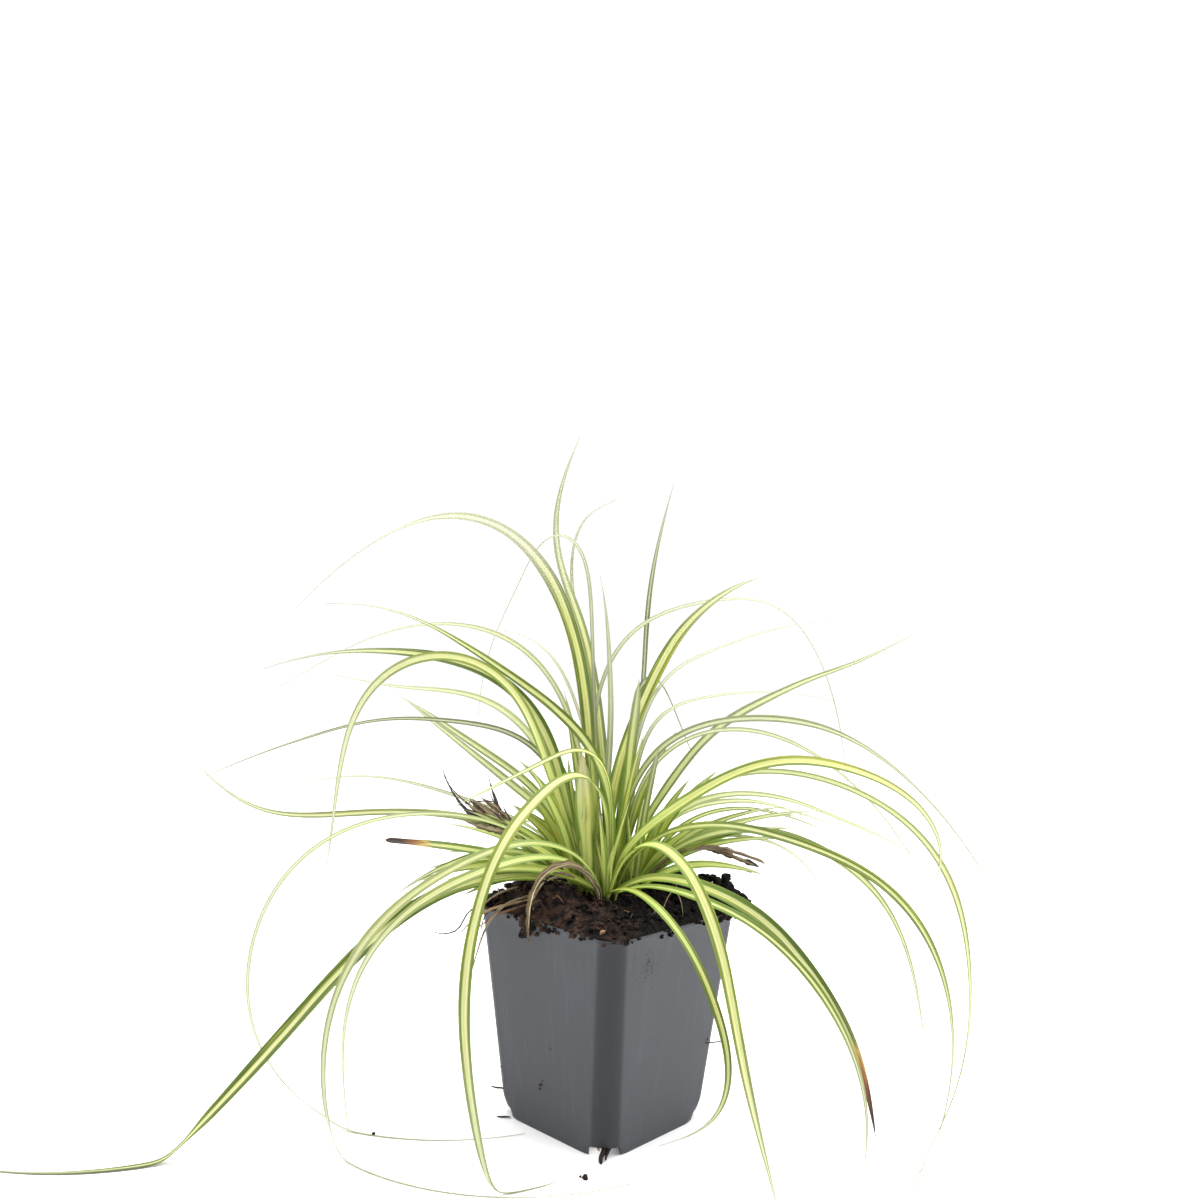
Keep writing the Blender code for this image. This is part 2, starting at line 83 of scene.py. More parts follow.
# One row is one blade:
#   name, shoot, azimuth, length mm, widest mm, roll at base / middle / tip,
#   foot (out, side[, height]) from the shoot,
#   bend: its angle from upright at even parts of its length
#         (0 stands up, 90 level, 180 hangs, over 180 curls back under),
#   trail: on the floor, how far it turns off its own line, first and last
BLADES = [
    # ---- front shoot
    ("leaf_front_crossing", "F", 166, 230, 4.4, (60, 65, 20), (-1, -3),
     (0, 5, 35, 55, 60, 65, 80, 95)),
    ("leaf_left_long", "F", 196, 318, 6.6, (30, 58, 0), (6, 0),
     (66, 95, 124, 138, 138, 135, 120, 92), (12, -35)),
    ("leaf_left_loop_a", "F", 200, 360, 4.4, (30, 55, 0), (3.5, 0.5),
     (20, 98, 126, 162, 192, 222, 262, 270), (-64, 10)),
    ("leaf_left_loop_b", "F", 207, 248, 4.4, (30, 55, 0), (6, 2.5),
     (25, 88, 108, 130, 165, 186, 190, 200), (-80, -60)),
    ("leaf_front_left_hanging", "F", 238, 312, 4.6, (20, 35, 0), (1.5, 1),
     (5, 8, 60, 104, 122, 146, 166, 184, 194, 200, 204, 206), (-40, -20)),
    ("leaf_front_short", "F", 305, 180, 3.6, (-20, -30, 0), (5.5, -2.5),
     (60, 100, 120, 140, 160, 210, 235, 240)),
    ("leaf_front_right", "F", 306, 205, 5.2, (-20, -30, 0), (4, -0.5),
     (20, 60, 115, 145, 160, 160, 155, 155)),
    ("leaf_right_low_thin", "F", 325, 195, 3.6, (-30, -45, 0), (7, -1.5),
     (60, 92, 103, 121, 138, 158, 180, 196)),
    ("leaf_right_low_wide", "F", 335, 178, 6.2, (-30, -50, -50), (5.5, 0.5),
     (50, 88, 106, 124, 138, 150, 164, 170)),
    ("leaf_right_long_dark", "F", 340, 285, 4.4, (-40, -50, 0), (4, 4),
     (15, 68, 98, 112, 146, 174, 192, 206), (20, 30)),
    ("leaf_right_arch", "F", 345, 214, 5.6, (-55, -50, -20), (2.5, 1.5),
     (5, 45, 55, 70, 95, 115, 158, 228)),
    ("leaf_inner_short_left", "F", 212, 142, 3.0, (30, 40, 20), (-1, 0.5),
     (0, 0, 5, 40, 104, 112, 112, 110)),
    ("leaf_inner_pale", "F", 170, 63, 5.6, (75, 80, 80), (8.5, -0.5),
     (5, 5, 5, 5)),
    # ---- middle shoots
    ("leaf_tall_arch", "M", 145, 372, 6.6, (75, 80, 10), (0, 0),
     (4, 6, 16, 42, 77, 104, 118, 127)),
    ("leaf_tall_back", "B", 120, 250, 6.0, (65, 70, 40), (-1, 0),
     (5, 10, 15, 25, 40, 25, -25, -45)),
    ("leaf_thin_left_a", "M", 150, 305, 2.6, (60, 50, 20), (2, 3.5),
     (0, 10, 30, 65, 90, 105, 115, 115)),
    ("leaf_left_pale_a", "M2", 146, 230, 3.8, (55, 45, 30), (6, 1),
     (15, 30, 40, 65, 85, 90, 85, 85)),
    ("leaf_right_tall", "M3", 30, 190, 5.6, (-70, -70, -30), (0, 0),
     (0, 5, 15, 25, 30, 45, 60, 75)),
    # ---- left shoot
    ("leaf_left_upper", "L", 168, 240, 6.0, (65, 65, 20), (0, 0),
     (10, 15, 25, 55, 80, 90, 100, 110)),
    ("leaf_left_hook", "L", 188, 275, 4.6, (60, 70, 60), (1, 3),
     (10, 20, 25, 65, 120, 165, 175, 175)),
    ("leaf_left_pale_b", "L", 152, 150, 4.0, (50, 50, 30), (2.5, -3),
     (20, 35, 60, 65, 65, 70)),
    ("leaf_left_pale_c", "L", 142, 160, 4.0, (50, 50, 30), (-1, -5),
     (25, 55, 65, 65, 65, 65)),
    ("leaf_left_dark_long", "L", 164, 300, 3.2, (40, 35, 10), (3.5, -1),
     (10, 20, 75, 90, 105, 110, 115, 120)),
    ("leaf_left_wavy", "L", 182, 205, 3.8, (40, 50, 40), (5, 0),
     (35, 60, 80, 90, 95, 85, 55, 45)),
    ("leaf_left_thin_grey", "L", 150, 265, 2.0, (40, 40, 20), (4.5, -3.5),
     (30, 70, 80, 85, 95, 105, 110, 120)),
    ("leaf_left_great_loop", "L", 193, 370, 2.2, (40, 50, 0), (5.5, 2.5),
     (30, 75, 105, 150, 190, 230, 250, 260), (-35, 10)),
    ("leaf_left_brown_tip", "L", 200, 94, 4.0, (40, 50, 40), (6, 5),
     (50, 66, 76, 80, 82, 84)),
    ("leaf_left_low_short", "L", 189, 95, 4.0, (30, 45, 30), (6.5, 0.5),
     (35, 65, 95, 110, 120, 130)),
    # ---- back shoots
    ("leaf_back_drooping", "M2", 140, 330, 1.8, (60, 50, 20), (0, 1),
     (5, 5, 5, 5, 6, 40, 135, 148, 160, 176, 180)),
    ("leaf_back_faint", "B2", 118, 235, 2.4, (60, 50, 20), (3, 0),
     (10, 20, 20, 25, 25, 0, -70, -80)),
    ("leaf_back_thin_left", "B2", 130, 170, 1.8, (60, 50, 20), (5, 1),
     (15, 15, 25, 40, 70, 85)),
    ("leaf_back_upright", "B2", 66, 220, 3.2, (-60, -60, -50), (-1, 0),
     (-5, 20, 25, 10, 5, 20, 30, 35)),
    ("leaf_back_great_arch", "B3", 40, 405, 2.0, (-60, -50, -10), (-2, 6),
     (-5, -5, 15, 60, 80, 94, 128, 152, 166, 170)),
    ("leaf_back_thin_right", "B2", 48, 280, 1.8, (-60, -40, -10), (1, -2.5),
     (0, 8, 28, 68, 76, 80, 83, 85)),
    ("leaf_back_pale_right", "R2", 38, 220, 2.0, (-60, -40, -10), (-2, 1),
     (0, 5, 20, 70, 85, 90, 95, 100)),
    ("leaf_back_mint", "M2", 0, 150, 3.2, (-70, -70, -60), (1, -1.5),
     (0, 0, 2, -3, -6, -15)),
    ("leaf_back_bent", "R2", 47, 178, 3.0, (-60, -60, -30), (-1, 3.5),
     (0, 2, 4, 6, 12, 120, 146, 146, 144)),
    ("leaf_back_low_right", "B3", 70, 150, 4.0, (-20, -20, -10), (2.5, -8),
     (40, 80, 105, 125, 145, 160)),
    ("leaf_back_low_middle", "B3", 100, 185, 4.6, (10, 15, 0), (3.5, 1),
     (30, 75, 100, 125, 145, 150)),
    ("leaf_back_low_left", "M2", 122, 160, 4.2, (20, 20, 10), (8, 3),
     (40, 75, 100, 125, 145, 160)),
    # ---- right shoots
    ("leaf_right_upper", "R", 32, 245, 4.2, (-50, -50, -30), (0, 0.5),
     (0, 35, 45, 65, 70, 75, 70, 70)),
    ("leaf_right_far", "R", 8, 315, 3.8, (-50, -45, -20), (-4, -1),
     (-5, 20, 70, 95, 120, 135, 145, 145)),
    ("leaf_right_dull_arch", "R", 2, 270, 2.6, (-50, -40, -20), (-2.5, -3),
     (0, 15, 60, 100, 125, 140, 155, 170)),
    ("leaf_right_outer_loop", "R", 346, 350, 3.0, (-50, -50, 0), (2, -3.5),
     (10, 50, 92, 122, 162, 182, 203, 220), (75, 80)),
    ("leaf_right_pale_a", "R", 30, 240, 3.8, (-40, -40, -30), (3.5, 2.5),
     (10, 55, 85, 100, 110, 110, 115, 115)),
    ("leaf_right_pale_b", "R", 42, 220, 3.2, (-40, -40, -30), (5, 5),
     (20, 60, 85, 95, 105, 105, 110, 110)),
    ("leaf_right_pale_c", "R", 20, 135, 2.6, (-40, -40, -30), (5.5, 1),
     (20, 50, 80, 100, 110, 115)),
    ("leaf_right_thin_low", "R", 12, 170, 1.8, (-40, -40, -20), (8, 0.5),
     (35, 60, 90, 110, 140, 145, 150, 200)),
    ("leaf_right_drooping", "R", 350, 206, 4.0, (-40, -45, -30), (4.5, -1.5),
     (30, 60, 85, 110, 130, 155, 168, 172)),
    ("leaf_stub_green", "R2", 0, 100, 4.6, (-75, -75, -75), (-8, -11),
     (5, 5, 5, 5)),
    ("leaf_stub_grey", "R", 0, 68, 3.4, (-65, -65, -60), (3, -8.5),
     (5, 5, 10, 10)),
    # ---- withered blades
    ("dead_leaf_arch", "F", 208, 70, 4.2, (10, 30, 20), (8, 5.5),
     (22, 44, 78, 112, 152, 174, 182, 184)),
    ("dead_leaf_right", "R", 354, 66, 4.8, (-20, -10, 0), (7.5, -3),
     (25, 45, 75, 92, 104, 112)),
    ("dead_leaf_stub_a", "L", 170, 65, 3.0, (30, 40, 60), (7.5, -2.5),
     (30, 45, 55, 55, 30, 5)),
    ("dead_leaf_stub_b", "L", 176, 80, 3.6, (30, 40, 60), (8.5, -1),
     (35, 50, 60, 60, 50, 20)),
    ("dead_strand_left", "O", 208, 64, 1.6, (10, 10, 10), (34, 0, 107),
     (105, 100, 140, 162, 164, 166)),
    ("dead_strand_rim", "O", 188, 30, 1.8, (10, 10, 10), (40, 0, 107),
     (100, 110, 120, 150, 160)),
]


# --------------------------------------------------------------------------- colours and nodes
def srgb(text):
    """Linear colour of a hex one."""
    out = []
    for i in (1, 3, 5):
        c = int(text[i:i + 2], 16) / 255.0
        out.append(c / 12.92 if c <= 0.04045 else ((c + 0.055) / 1.055) ** 2.4)
    return (*out, 1.0)


class Tree:
    """Short names for the shader nodes used below."""

    def __init__(self, owner):
        owner.use_nodes = True
        self.tree = owner.node_tree
        self.tree.nodes.clear()
        self.x = 0

    def node(self, kind):
        n = self.tree.nodes.new(kind)
        self.x += 40
        n.location = (self.x, (self.x * 7) % 600)
        return n

    def put(self, socket, value):
        if isinstance(value, bpy.types.NodeSocket):
            self.tree.links.new(value, socket)
        elif value is not None:
            socket.default_value = value

    def math(self, op, a, b=0.0, c=0.0, clamp=False):
        n = self.node("ShaderNodeMath")
        n.operation, n.use_clamp = op, clamp
        for s, v in zip(n.inputs, (a, b, c)):
            self.put(s, v)
        return n.outputs[0]

    def ease(self, value, low, high):
        n = self.node("ShaderNodeMapRange")
        n.interpolation_type = "SMOOTHSTEP"
        self.put(n.inputs["Value"], value)
        self.put(n.inputs["From Min"], low)
        self.put(n.inputs["From Max"], high)
        return n.outputs["Result"]

    def vec(self, x, y, z):
        n = self.node("ShaderNodeCombineXYZ")
        for s, v in zip(n.inputs, (x, y, z)):
            self.put(s, v)
        return n.outputs[0]

    def parts(self, vector):
        n = self.node("ShaderNodeSeparateXYZ")
        self.put(n.inputs[0], vector)
        return n.outputs[0], n.outputs[1], n.outputs[2]

    def attr(self, name, out="Fac"):
        n = self.node("ShaderNodeAttribute")
        n.attribute_name = name
        return n.outputs[out]

    def noise(self, vector, scale, detail=2.0, rough=0.5):
        n = self.node("ShaderNodeTexNoise")
        self.put(n.inputs["Vector"], vector)
        n.inputs["Scale"].default_value = scale
        n.inputs["Detail"].default_value = detail
        n.inputs["Roughness"].default_value = rough
        return n.outputs[0]

    def voronoi(self, vector, scale, out="Distance"):
        n = self.node("ShaderNodeTexVoronoi")
        self.put(n.inputs["Vector"], vector)
        n.inputs["Scale"].default_value = scale
        return n.outputs[out]

    def mix(self, f, a, b, blend="MIX"):
        n = self.node("ShaderNodeMix")
        n.data_type, n.blend_type, n.clamp_factor = "RGBA", blend, True
        self.put(n.inputs[0], f)
        self.put(n.inputs[6], a)
        self.put(n.inputs[7], b)
        return n.outputs[2]

    def ramp(self, f, stops):
        n = self.node("ShaderNodeValToRGB")
        r = n.color_ramp
        while len(r.elements) < len(stops):
            r.elements.new(0.5)
        for e, (at, colour) in zip(r.elements, stops):
            e.position, e.color = at, colour
        self.put(n.inputs[0], f)
        return n.outputs[0]

    def place(self):
        return self.node("ShaderNodeTexCoord").outputs["Object"]

    def bump(self, height, strength, distance):
        n = self.node("ShaderNodeBump")
        self.put(n.inputs["Height"], height)
        n.inputs["Strength"].default_value = strength
        n.inputs["Distance"].default_value = distance
        return n.outputs[0]

    def surface(self, colour, rough, normal=None, specular=0.5, through=None, amount=0.0, sheen=0.0):
        p = self.node("ShaderNodeBsdfPrincipled")
        self.put(p.inputs["Base Color"], colour)
        self.put(p.inputs["Roughness"], rough)
        p.inputs["Specular IOR Level"].default_value = specular
        p.inputs["Sheen Weight"].default_value = sheen
        if normal is not None:
            self.put(p.inputs["Normal"], normal)
        out = self.node("ShaderNodeOutputMaterial")
        if through is None:
            self.put(out.inputs["Surface"], p.outputs[0])
            return p
        t = self.node("ShaderNodeBsdfTranslucent")
        self.put(t.inputs["Color"], through)
        m = self.node("ShaderNodeMixShader")
        m.inputs[0].default_value = amount
        self.put(m.inputs[1], p.outputs[0])
        self.put(m.inputs[2], t.outputs[0])
        self.put(out.inputs["Surface"], m.outputs[0])
        return p


def living(text):
    """A leaf colour, brought down to what a real blade returns under the bright studio."""
    r, g, b, a = srgb(text)
    return (r * LEAF_LEVEL, g * LEAF_LEVEL, b * LEAF_LEVEL, a)


LEAF_LEVEL = 0.80


def leaf_material():
    """Cream-centred, green-margined blade; every blade's own values come in as attributes."""
    mat = bpy.data.materials.new("leaf_variegated")
    t = Tree(mat)
    across, dist, along, under = t.attr("across"), t.attr("dist"), t.attr("along"), t.attr("under")
    stripe, dark, pale = t.parts(t.attr("look", "Vector"))
    dull, yellow, seed = t.parts(t.attr("more", "Vector"))
    tip0, tiplen, tipness = t.parts(t.attr("tip", "Vector"))
    fade = t.attr("fade")
    # slow wander of the stripe, streaks that run the blade's length, and its fine veins
    wander = t.noise(t.vec(t.math("MULTIPLY", seed, 13.0), t.math("MULTIPLY", dist, 0.30), 0.0), 1.0, 2.0)
    streak = t.noise(t.vec(t.math("MULTIPLY_ADD", across, 6.5, t.math("MULTIPLY", seed, 31.0)),
                           t.math("MULTIPLY", dist, 0.16), t.math("MULTIPLY", seed, 7.0)), 1.0, 2.0, 0.6)
    vein = t.noise(t.vec(t.math("MULTIPLY_ADD", across, 17.0, t.math("MULTIPLY", seed, 57.0)),
                         t.math("MULTIPLY", dist, 0.08), 3.0), 1.0, 1.0)
    off = t.math("MULTIPLY_ADD", t.math("SUBTRACT", wander, 0.5), 0.34, across)
    reach = t.math("ABSOLUTE", off)
    reach = t.math("MULTIPLY_ADD", t.math("SUBTRACT", streak, 0.5), 0.34, reach)
    foot = t.math("SUBTRACT", 1.0, t.ease(dist, 2.0, 10.0))
    soft = t.math("MULTIPLY_ADD", foot, -0.55, 1.0)        # the lines are fainter on the pale feet
    tipfade = t.ease(along, 0.62, 1.0)
    wide = t.math("MULTIPLY_ADD", foot, 0.10, t.math("MULTIPLY", stripe, 0.86))
    wide = t.math("MULTIPLY_ADD", tipfade, -0.12, wide)
    margin = t.ease(reach, t.math("SUBTRACT", wide, 0.10), t.math("ADD", wide, 0.10))
    cream = t.mix(yellow, living("#f5f4cc"), living("#eaec94"))
    # painted light, in part: towards the foot the cream turns lighter and yellower; the sheaths are yellower there,
    # and the extra lift stands in for light inside the shaded crown
    cream = t.mix(t.math("MULTIPLY", foot, 0.72), cream, living("#dff070"))
    cream = t.mix(t.math("MULTIPLY", t.ease(vein, 0.46, 0.58), 0.66), cream, living("#bdc662"))
    green = t.mix(dark, living("#9db03f"), living("#526a1b"))
    green = t.mix(t.math("MULTIPLY", t.ease(vein, 0.46, 0.58), 0.60), green, living("#586e24"))
    green = t.mix(t.math("MULTIPLY", t.ease(streak, 0.54, 0.66), 0.65), green, living("#c8d25e"))
    # painted light, in part: the green also lightens towards the foot, partly its own colour, partly a lift for the
    # shaded crown
    green = t.mix(t.math("MULTIPLY", foot, 0.56), green, living("#9cc440"))
    col = t.mix(margin, cream, green)
    # a thin dark line where cream meets green, another along the edge, and the keel
    seam = t.math("ABSOLUTE", t.math("SUBTRACT", reach, wide))
    seam = t.math("SUBTRACT", 1.0, t.ease(seam, 0.03, 0.12))
    col = t.mix(t.math("MULTIPLY", t.math("MULTIPLY", seam, soft), t.math("MULTIPLY_ADD", dark, 0.34, 0.08)), col, living("#5a662a"))
    rim = t.ease(t.math("ABSOLUTE", across), 0.86, 0.99)
    col = t.mix(t.math("MULTIPLY", t.math("MULTIPLY", rim, soft), t.math("MULTIPLY_ADD", dark, 0.32, 0.16)), col, living("#586b24"))
    keel = t.math("SUBTRACT", 1.0, t.ease(t.math("ABSOLUTE", off), 0.02, 0.09))
    col = t.mix(t.math("MULTIPLY", keel, 0.30), col, living("#a8c048"))
    # some blades yellow in patches
    patch = t.noise(t.vec(t.math("MULTIPLY", seed, 91.0), t.math("MULTIPLY", dist, 0.12), across), 1.0, 2.0)
    col = t.mix(t.math("MULTIPLY", t.ease(patch, 0.56, 0.72), 0.30), col, living("#e6d84e"))
    # the underside and the dull blades lose their contrast
    grey = t.mix(margin, living("#bcc09a"), living("#687250"))
    away = t.math("MULTIPLY_ADD", foot, -0.75, 1.0)
    col = t.mix(t.math("MULTIPLY", t.math("MAXIMUM", dull, t.math("MULTIPLY", under, 0.36)), away), col, grey)
    col = t.mix(t.math("MULTIPLY", pale, away), col, living("#e1e1d1"))
    col = t.mix(t.math("MULTIPLY", tipfade, 0.30), col, living("#cacaae"))
    col = t.mix(fade, col, t.mix(margin, living("#eaead4"), living("#c6c8a6")))
    # withered tip: straw, then orange, then dark brown
    rag = t.noise(t.vec(t.math("MULTIPLY", across, 1.8), t.math("MULTIPLY", dist, 1.1), seed), 1.0, 3.0)
    q = t.math("DIVIDE", t.math("SUBTRACT", along, tip0), tiplen)
    q = t.math("MULTIPLY_ADD", t.math("SUBTRACT", rag, 0.5), 0.7, q)
    col = t.mix(t.math("MULTIPLY", t.ease(q, -0.12, 0.22), tipness), col, living("#cfae62"))
    col = t.mix(t.math("MULTIPLY", t.ease(q, 0.12, 0.42), tipness), col, living("#8f5830"))
    col = t.mix(t.math("MULTIPLY", t.ease(q, 0.40, 0.72), tipness), col, living("#3a2518"))
    rough = t.math("MULTIPLY_ADD", streak, 0.22, 0.34)
    normal = t.bump(vein, 0.35, 0.00018)
    t.surface(col, rough, normal, 0.38, through=col, amount=0.32)
    return mat


def dead_material():
    """Dried blade: grey-brown and straw fibres."""
    mat = bpy.data.materials.new("leaf_withered")
    t = Tree(mat)
    across, dist = t.attr("across"), t.attr("dist")
    straw, red, seed = t.parts(t.attr("look", "Vector"))
    fibre = t.noise(t.vec(t.math("MULTIPLY_ADD", across, 8.0, t.math("MULTIPLY", seed, 19.0)),
                          t.math("MULTIPLY", dist, 0.30), seed), 1.0, 3.0, 0.6)
    blot = t.noise(t.vec(across, t.math("MULTIPLY", dist, 1.3), t.math("MULTIPLY", seed, 5.0)), 1.0, 3.0)
    col = t.ramp(fibre, [(0.38, srgb("#17100e")), (0.46, srgb("#4c382f")), (0.54, srgb("#80695a")),
                         (0.64, srgb("#b5a48c"))])
    col = t.mix(t.math("MULTIPLY", straw, t.math("MULTIPLY", t.ease(fibre, 0.38, 0.56), 0.85)), col,
                srgb("#bfb288"))
    col = t.mix(t.math("MULTIPLY", t.ease(blot, 0.50, 0.70), 0.6), col, srgb("#2a1c16"))
    col = t.mix(t.math("MULTIPLY", t.math("MAXIMUM", red, 0.0), 0.5), col, srgb("#5d382b"))
    col = t.mix(t.math("MAXIMUM", t.math("MULTIPLY", red, -1.0), 0.0), col, srgb("#2c2e34"))
    normal = t.bump(fibre, 0.8, 0.0004)
    t.surface(col, 0.75, normal, 0.25)
    return mat


def peat_material(name, fine):
    """Moist dark peat, redder where it is fibrous."""
    mat = bpy.data.materials.new(name)
    t = Tree(mat)
    p = t.place()
    clod = t.noise(p, 170.0, 5.0, 0.62)
    grain = t.noise(p, 900.0, 4.0, 0.6)
    fibre = t.noise(t.vec(t.math("MULTIPLY", t.parts(p)[0], 900.0), t.math("MULTIPLY", t.parts(p)[1], 260.0),
                          t.math("MULTIPLY", t.parts(p)[2], 400.0)), 1.0, 3.0)
    col = t.ramp(clod, [(0.30, srgb("#060505")), (0.50, srgb("#0f0b09")), (0.63, srgb("#1c1410")),
                        (0.80, srgb("#2e211a"))])
    col = t.mix(t.math("MULTIPLY", t.ease(fibre, 0.60, 0.74), 0.40), col, srgb("#3d2b20"))
    px, py, pz = t.parts(p)
    warm = t.ease(t.math("MULTIPLY_ADD", py, 0.35, px), 0.006, -0.030)
    col = t.mix(t.math("MULTIPLY", warm, t.ease(clod, 0.42, 0.66)), col, srgb("#3d2c23"))
    col = t.mix(t.math("MULTIPLY", t.ease(px, -0.006, 0.018), 0.55), col, srgb("#060505"))
    if fine:
        tint = t.attr("tint")
        col = t.mix(t.math("MULTIPLY", t.ease(tint, 0.72, 1.0), 0.7), col, srgb("#35261d"))
        col = t.mix(t.ease(tint, 1.5, 1.9), col, srgb("#94795a"))
    normal = t.bump(t.math("MULTIPLY_ADD", grain, 0.5, clod), 0.9, 0.0008)
    t.surface(col, t.math("MULTIPLY_ADD", grain, 0.3, 0.66), normal, 0.12)
    return mat


def fibre_material():
    mat = bpy.data.materials.new("bark_fibre")
    t = Tree(mat)
    tint, dist = t.attr("tint"), t.attr("dist")
    n = t.noise(t.vec(tint, t.math("MULTIPLY", dist, 1.5), 0.0), 2.0, 3.0)
    col = t.ramp(tint, [(0.0, srgb("#1a100c")), (0.40, srgb("#33211a")), (0.66, srgb("#523626")),
                        (0.86, srgb("#83664a")), (1.0, srgb("#b19b78"))])
    col = t.mix(t.math("MULTIPLY", t.ease(n, 0.45, 0.7), 0.5), col, srgb("#2a1812"))
    t.surface(col, 0.8, t.bump(n, 0.4, 0.0002), 0.25)
    return mat


def pot_material():
    """Thin moulded plastic: satin, faintly streaked by the mould, darker and mottled towards the rim."""
    mat = bpy.data.materials.new("pot_plastic_moulded")
    t = Tree(mat)
    p = t.place()
    x, y, z = t.parts(p)
    cloud = t.noise(p, 28.0, 4.0, 0.55)
    flow = t.noise(t.vec(t.math("MULTIPLY", x, 420.0), t.math("MULTIPLY", y, 420.0),
                         t.math("MULTIPLY", z, 9.0)), 1.0, 3.0, 0.6)
    grain = t.noise(p, 2600.0, 2.0, 0.5)
    yaw = math.radians(POT_YAW)
    u = t.math("MULTIPLY_ADD", x, math.cos(yaw), t.math("MULTIPLY", y, math.sin(yaw)))
    w = t.math("MULTIPLY_ADD", y, math.cos(yaw), t.math("MULTIPLY", x, -math.sin(yaw)))
    near = t.math("MINIMUM", t.math("ABSOLUTE", u), t.math("ABSOLUTE", w))
    half = t.math("MULTIPLY_ADD", z, (POT_TOP - POT_BASE) / POT_H, POT_BASE * MM)
    corner = t.ease(t.math("SUBTRACT", half, near), 0.0105, 0.0075)
    col = t.mix(cloud, srgb("#343639"), srgb("#3c3e43"))
    col = t.mix(t.math("MULTIPLY", t.ease(flow, 0.52, 0.70), 0.22), col, srgb("#4b4d53"))
    # painted shade: every rounded corner is darkened into a band that stands in for the dark front surroundings the
    # corner reflects
    col = t.mix(t.math("MULTIPLY", corner, 0.80), col, srgb("#212226"))
    # darker brown mottling towards the rim, thinning out below it
    high = t.ease(z, 0.055, 0.100)
    rim_mottle = t.ease(t.noise(p, 620.0, 4.0, 0.7), 0.60, 0.72)
    col = t.mix(t.math("MULTIPLY", t.math("MULTIPLY", rim_mottle, high), 0.55), col, srgb("#241b16"))
    speck = t.math("SUBTRACT", 1.0, t.ease(t.voronoi(p, 160.0), 0.03, 0.09))
    col = t.mix(t.math("MULTIPLY", speck, 0.35), col, srgb("#191513"))
    scuff = t.ease(t.noise(t.vec(t.math("MULTIPLY", x, 60.0), t.math("MULTIPLY", y, 60.0),
                                 t.math("MULTIPLY", z, 700.0)), 1.0, 4.0, 0.7), 0.66, 0.74)
    col = t.mix(t.math("MULTIPLY", scuff, 0.22), col, srgb("#4b4e53"))
    rough = t.math("MULTIPLY_ADD", cloud, 0.12, 0.40)
    normal = t.bump(t.math("MULTIPLY_ADD", flow, 0.6, grain), 0.12, 0.00025)
    t.surface(col, rough, normal, 0.22)
    return mat


# ----------------------------------------------------------------------------- growing a blade
def smooth_values(values, count):
    """Natural cubic through evenly spaced values, read at `count` even places."""
    y = np.array(values, float)
    n = len(y)
    a = np.zeros((n, n))
    b = np.zeros(n)
    a[0, 0] = a[-1, -1] = 1.0
    for i in range(1, n - 1):
        a[i, i - 1:i + 2] = 1.0, 4.0, 1.0
        b[i] = 6.0 * (y[i + 1] - 2.0 * y[i] + y[i - 1])
    m = np.linalg.solve(a, b)
    out = []
    for s in np.linspace(0.0, n - 1.0, count):
        i = min(int(s), n - 2)
        u, v = i + 1.0 - s, s - i
        out.append(m[i] * u ** 3 / 6 + m[i + 1] * v ** 3 / 6
                   + (y[i] - m[i] / 6) * u + (y[i + 1] - m[i + 1] / 6) * v)
    return out


def ease(v, low, high):
    k = min(1.0, max(0.0, (v - low) / (high - low)))
    return k * k * (3 - 2 * k)


def blade_width(t, widest, late=LATE):
    foot = 0.62 + 0.38 * min(1.0, t / 0.22) ** 1.5
    tip = 1.0 if t < 0.38 else max(0.0, 1.0 - ((t - 0.38) / 0.62) ** late)
    return max(0.42, widest * foot * tip)


def grow(row):
    """Centre line of a blade, as the part grows it."""
    name, shoot, azimuth, length, widest, roll, foot, bend = row[:8]
    trail = row[8] if len(row) > 8 else (0.0, 0.0)
    cx, cy = SHOOTS[shoot]
    a = math.radians(azimuth)
    out = Vector((math.cos(a), math.sin(a), 0.0))
    side = Vector((-math.sin(a), math.cos(a), 0.0))
    p = Vector((cx, cy, foot[2] if len(foot) > 2 else CROWN_Z + GAP + 0.1))
    p += out * foot[0] + side * foot[1]
    count = int(round(length / STRIDE)) + 1
    step = length / (count - 1)
    line = [p.copy()]
    landed = None
    for i, lean in enumerate(smooth_values(bend, count)[:-1]):
        lean = math.radians(lean)
        if landed is None:
            ahead = out * math.sin(lean) + Vector((0, 0, math.cos(lean)))
            if p.z + ahead.z * step < FLOOR_Z:
                landed = (i, azimuth + (180.0 if math.sin(lean) < 0 else 0.0))
        if landed is not None:
            k = (i - landed[0]) / max(1, count - 2 - landed[0])
            h = math.radians(landed[1] + trail[0] + (trail[1] - trail[0]) * k)
            ahead = Vector((math.cos(h), math.sin(h), 0.0))
            p.z = FLOOR_Z
        p = p + ahead * step
        line.append(p.copy())
    for _ in range(6):
        line = [line[0]] + [(line[i - 1] + line[i] * 2 + line[i + 1]) / 4
                            for i in range(1, len(line) - 1)] + [line[-1]]
    return line, side


def curve_through(points, count):
    """`count` points on a smooth curve through `points`, evenly by length."""
    pts = np.array([tuple(p) for p in points], float)
    ext = np.vstack([2 * pts[0] - pts[1], pts, 2 * pts[-1] - pts[-2]])
    fine = []
    for i in range(len(pts) - 1):
        a, b, c, d = ext[i:i + 4]
        for u in np.linspace(0, 1, 6, endpoint=False):
            fine.append(0.5 * (2 * b + (c - a) * u + (2 * a - 5 * b + 4 * c - d) * u * u
                               + (3 * b - a - 3 * c + d) * u ** 3))
    fine.append(pts[-1])
    fine = np.array(fine)
    run = np.concatenate([[0], np.cumsum(np.linalg.norm(np.diff(fine, axis=0), axis=1))])
    at = np.linspace(0, run[-1], count)
    return np.stack([np.interp(at, run, fine[:, k]) for k in range(3)], 1), at


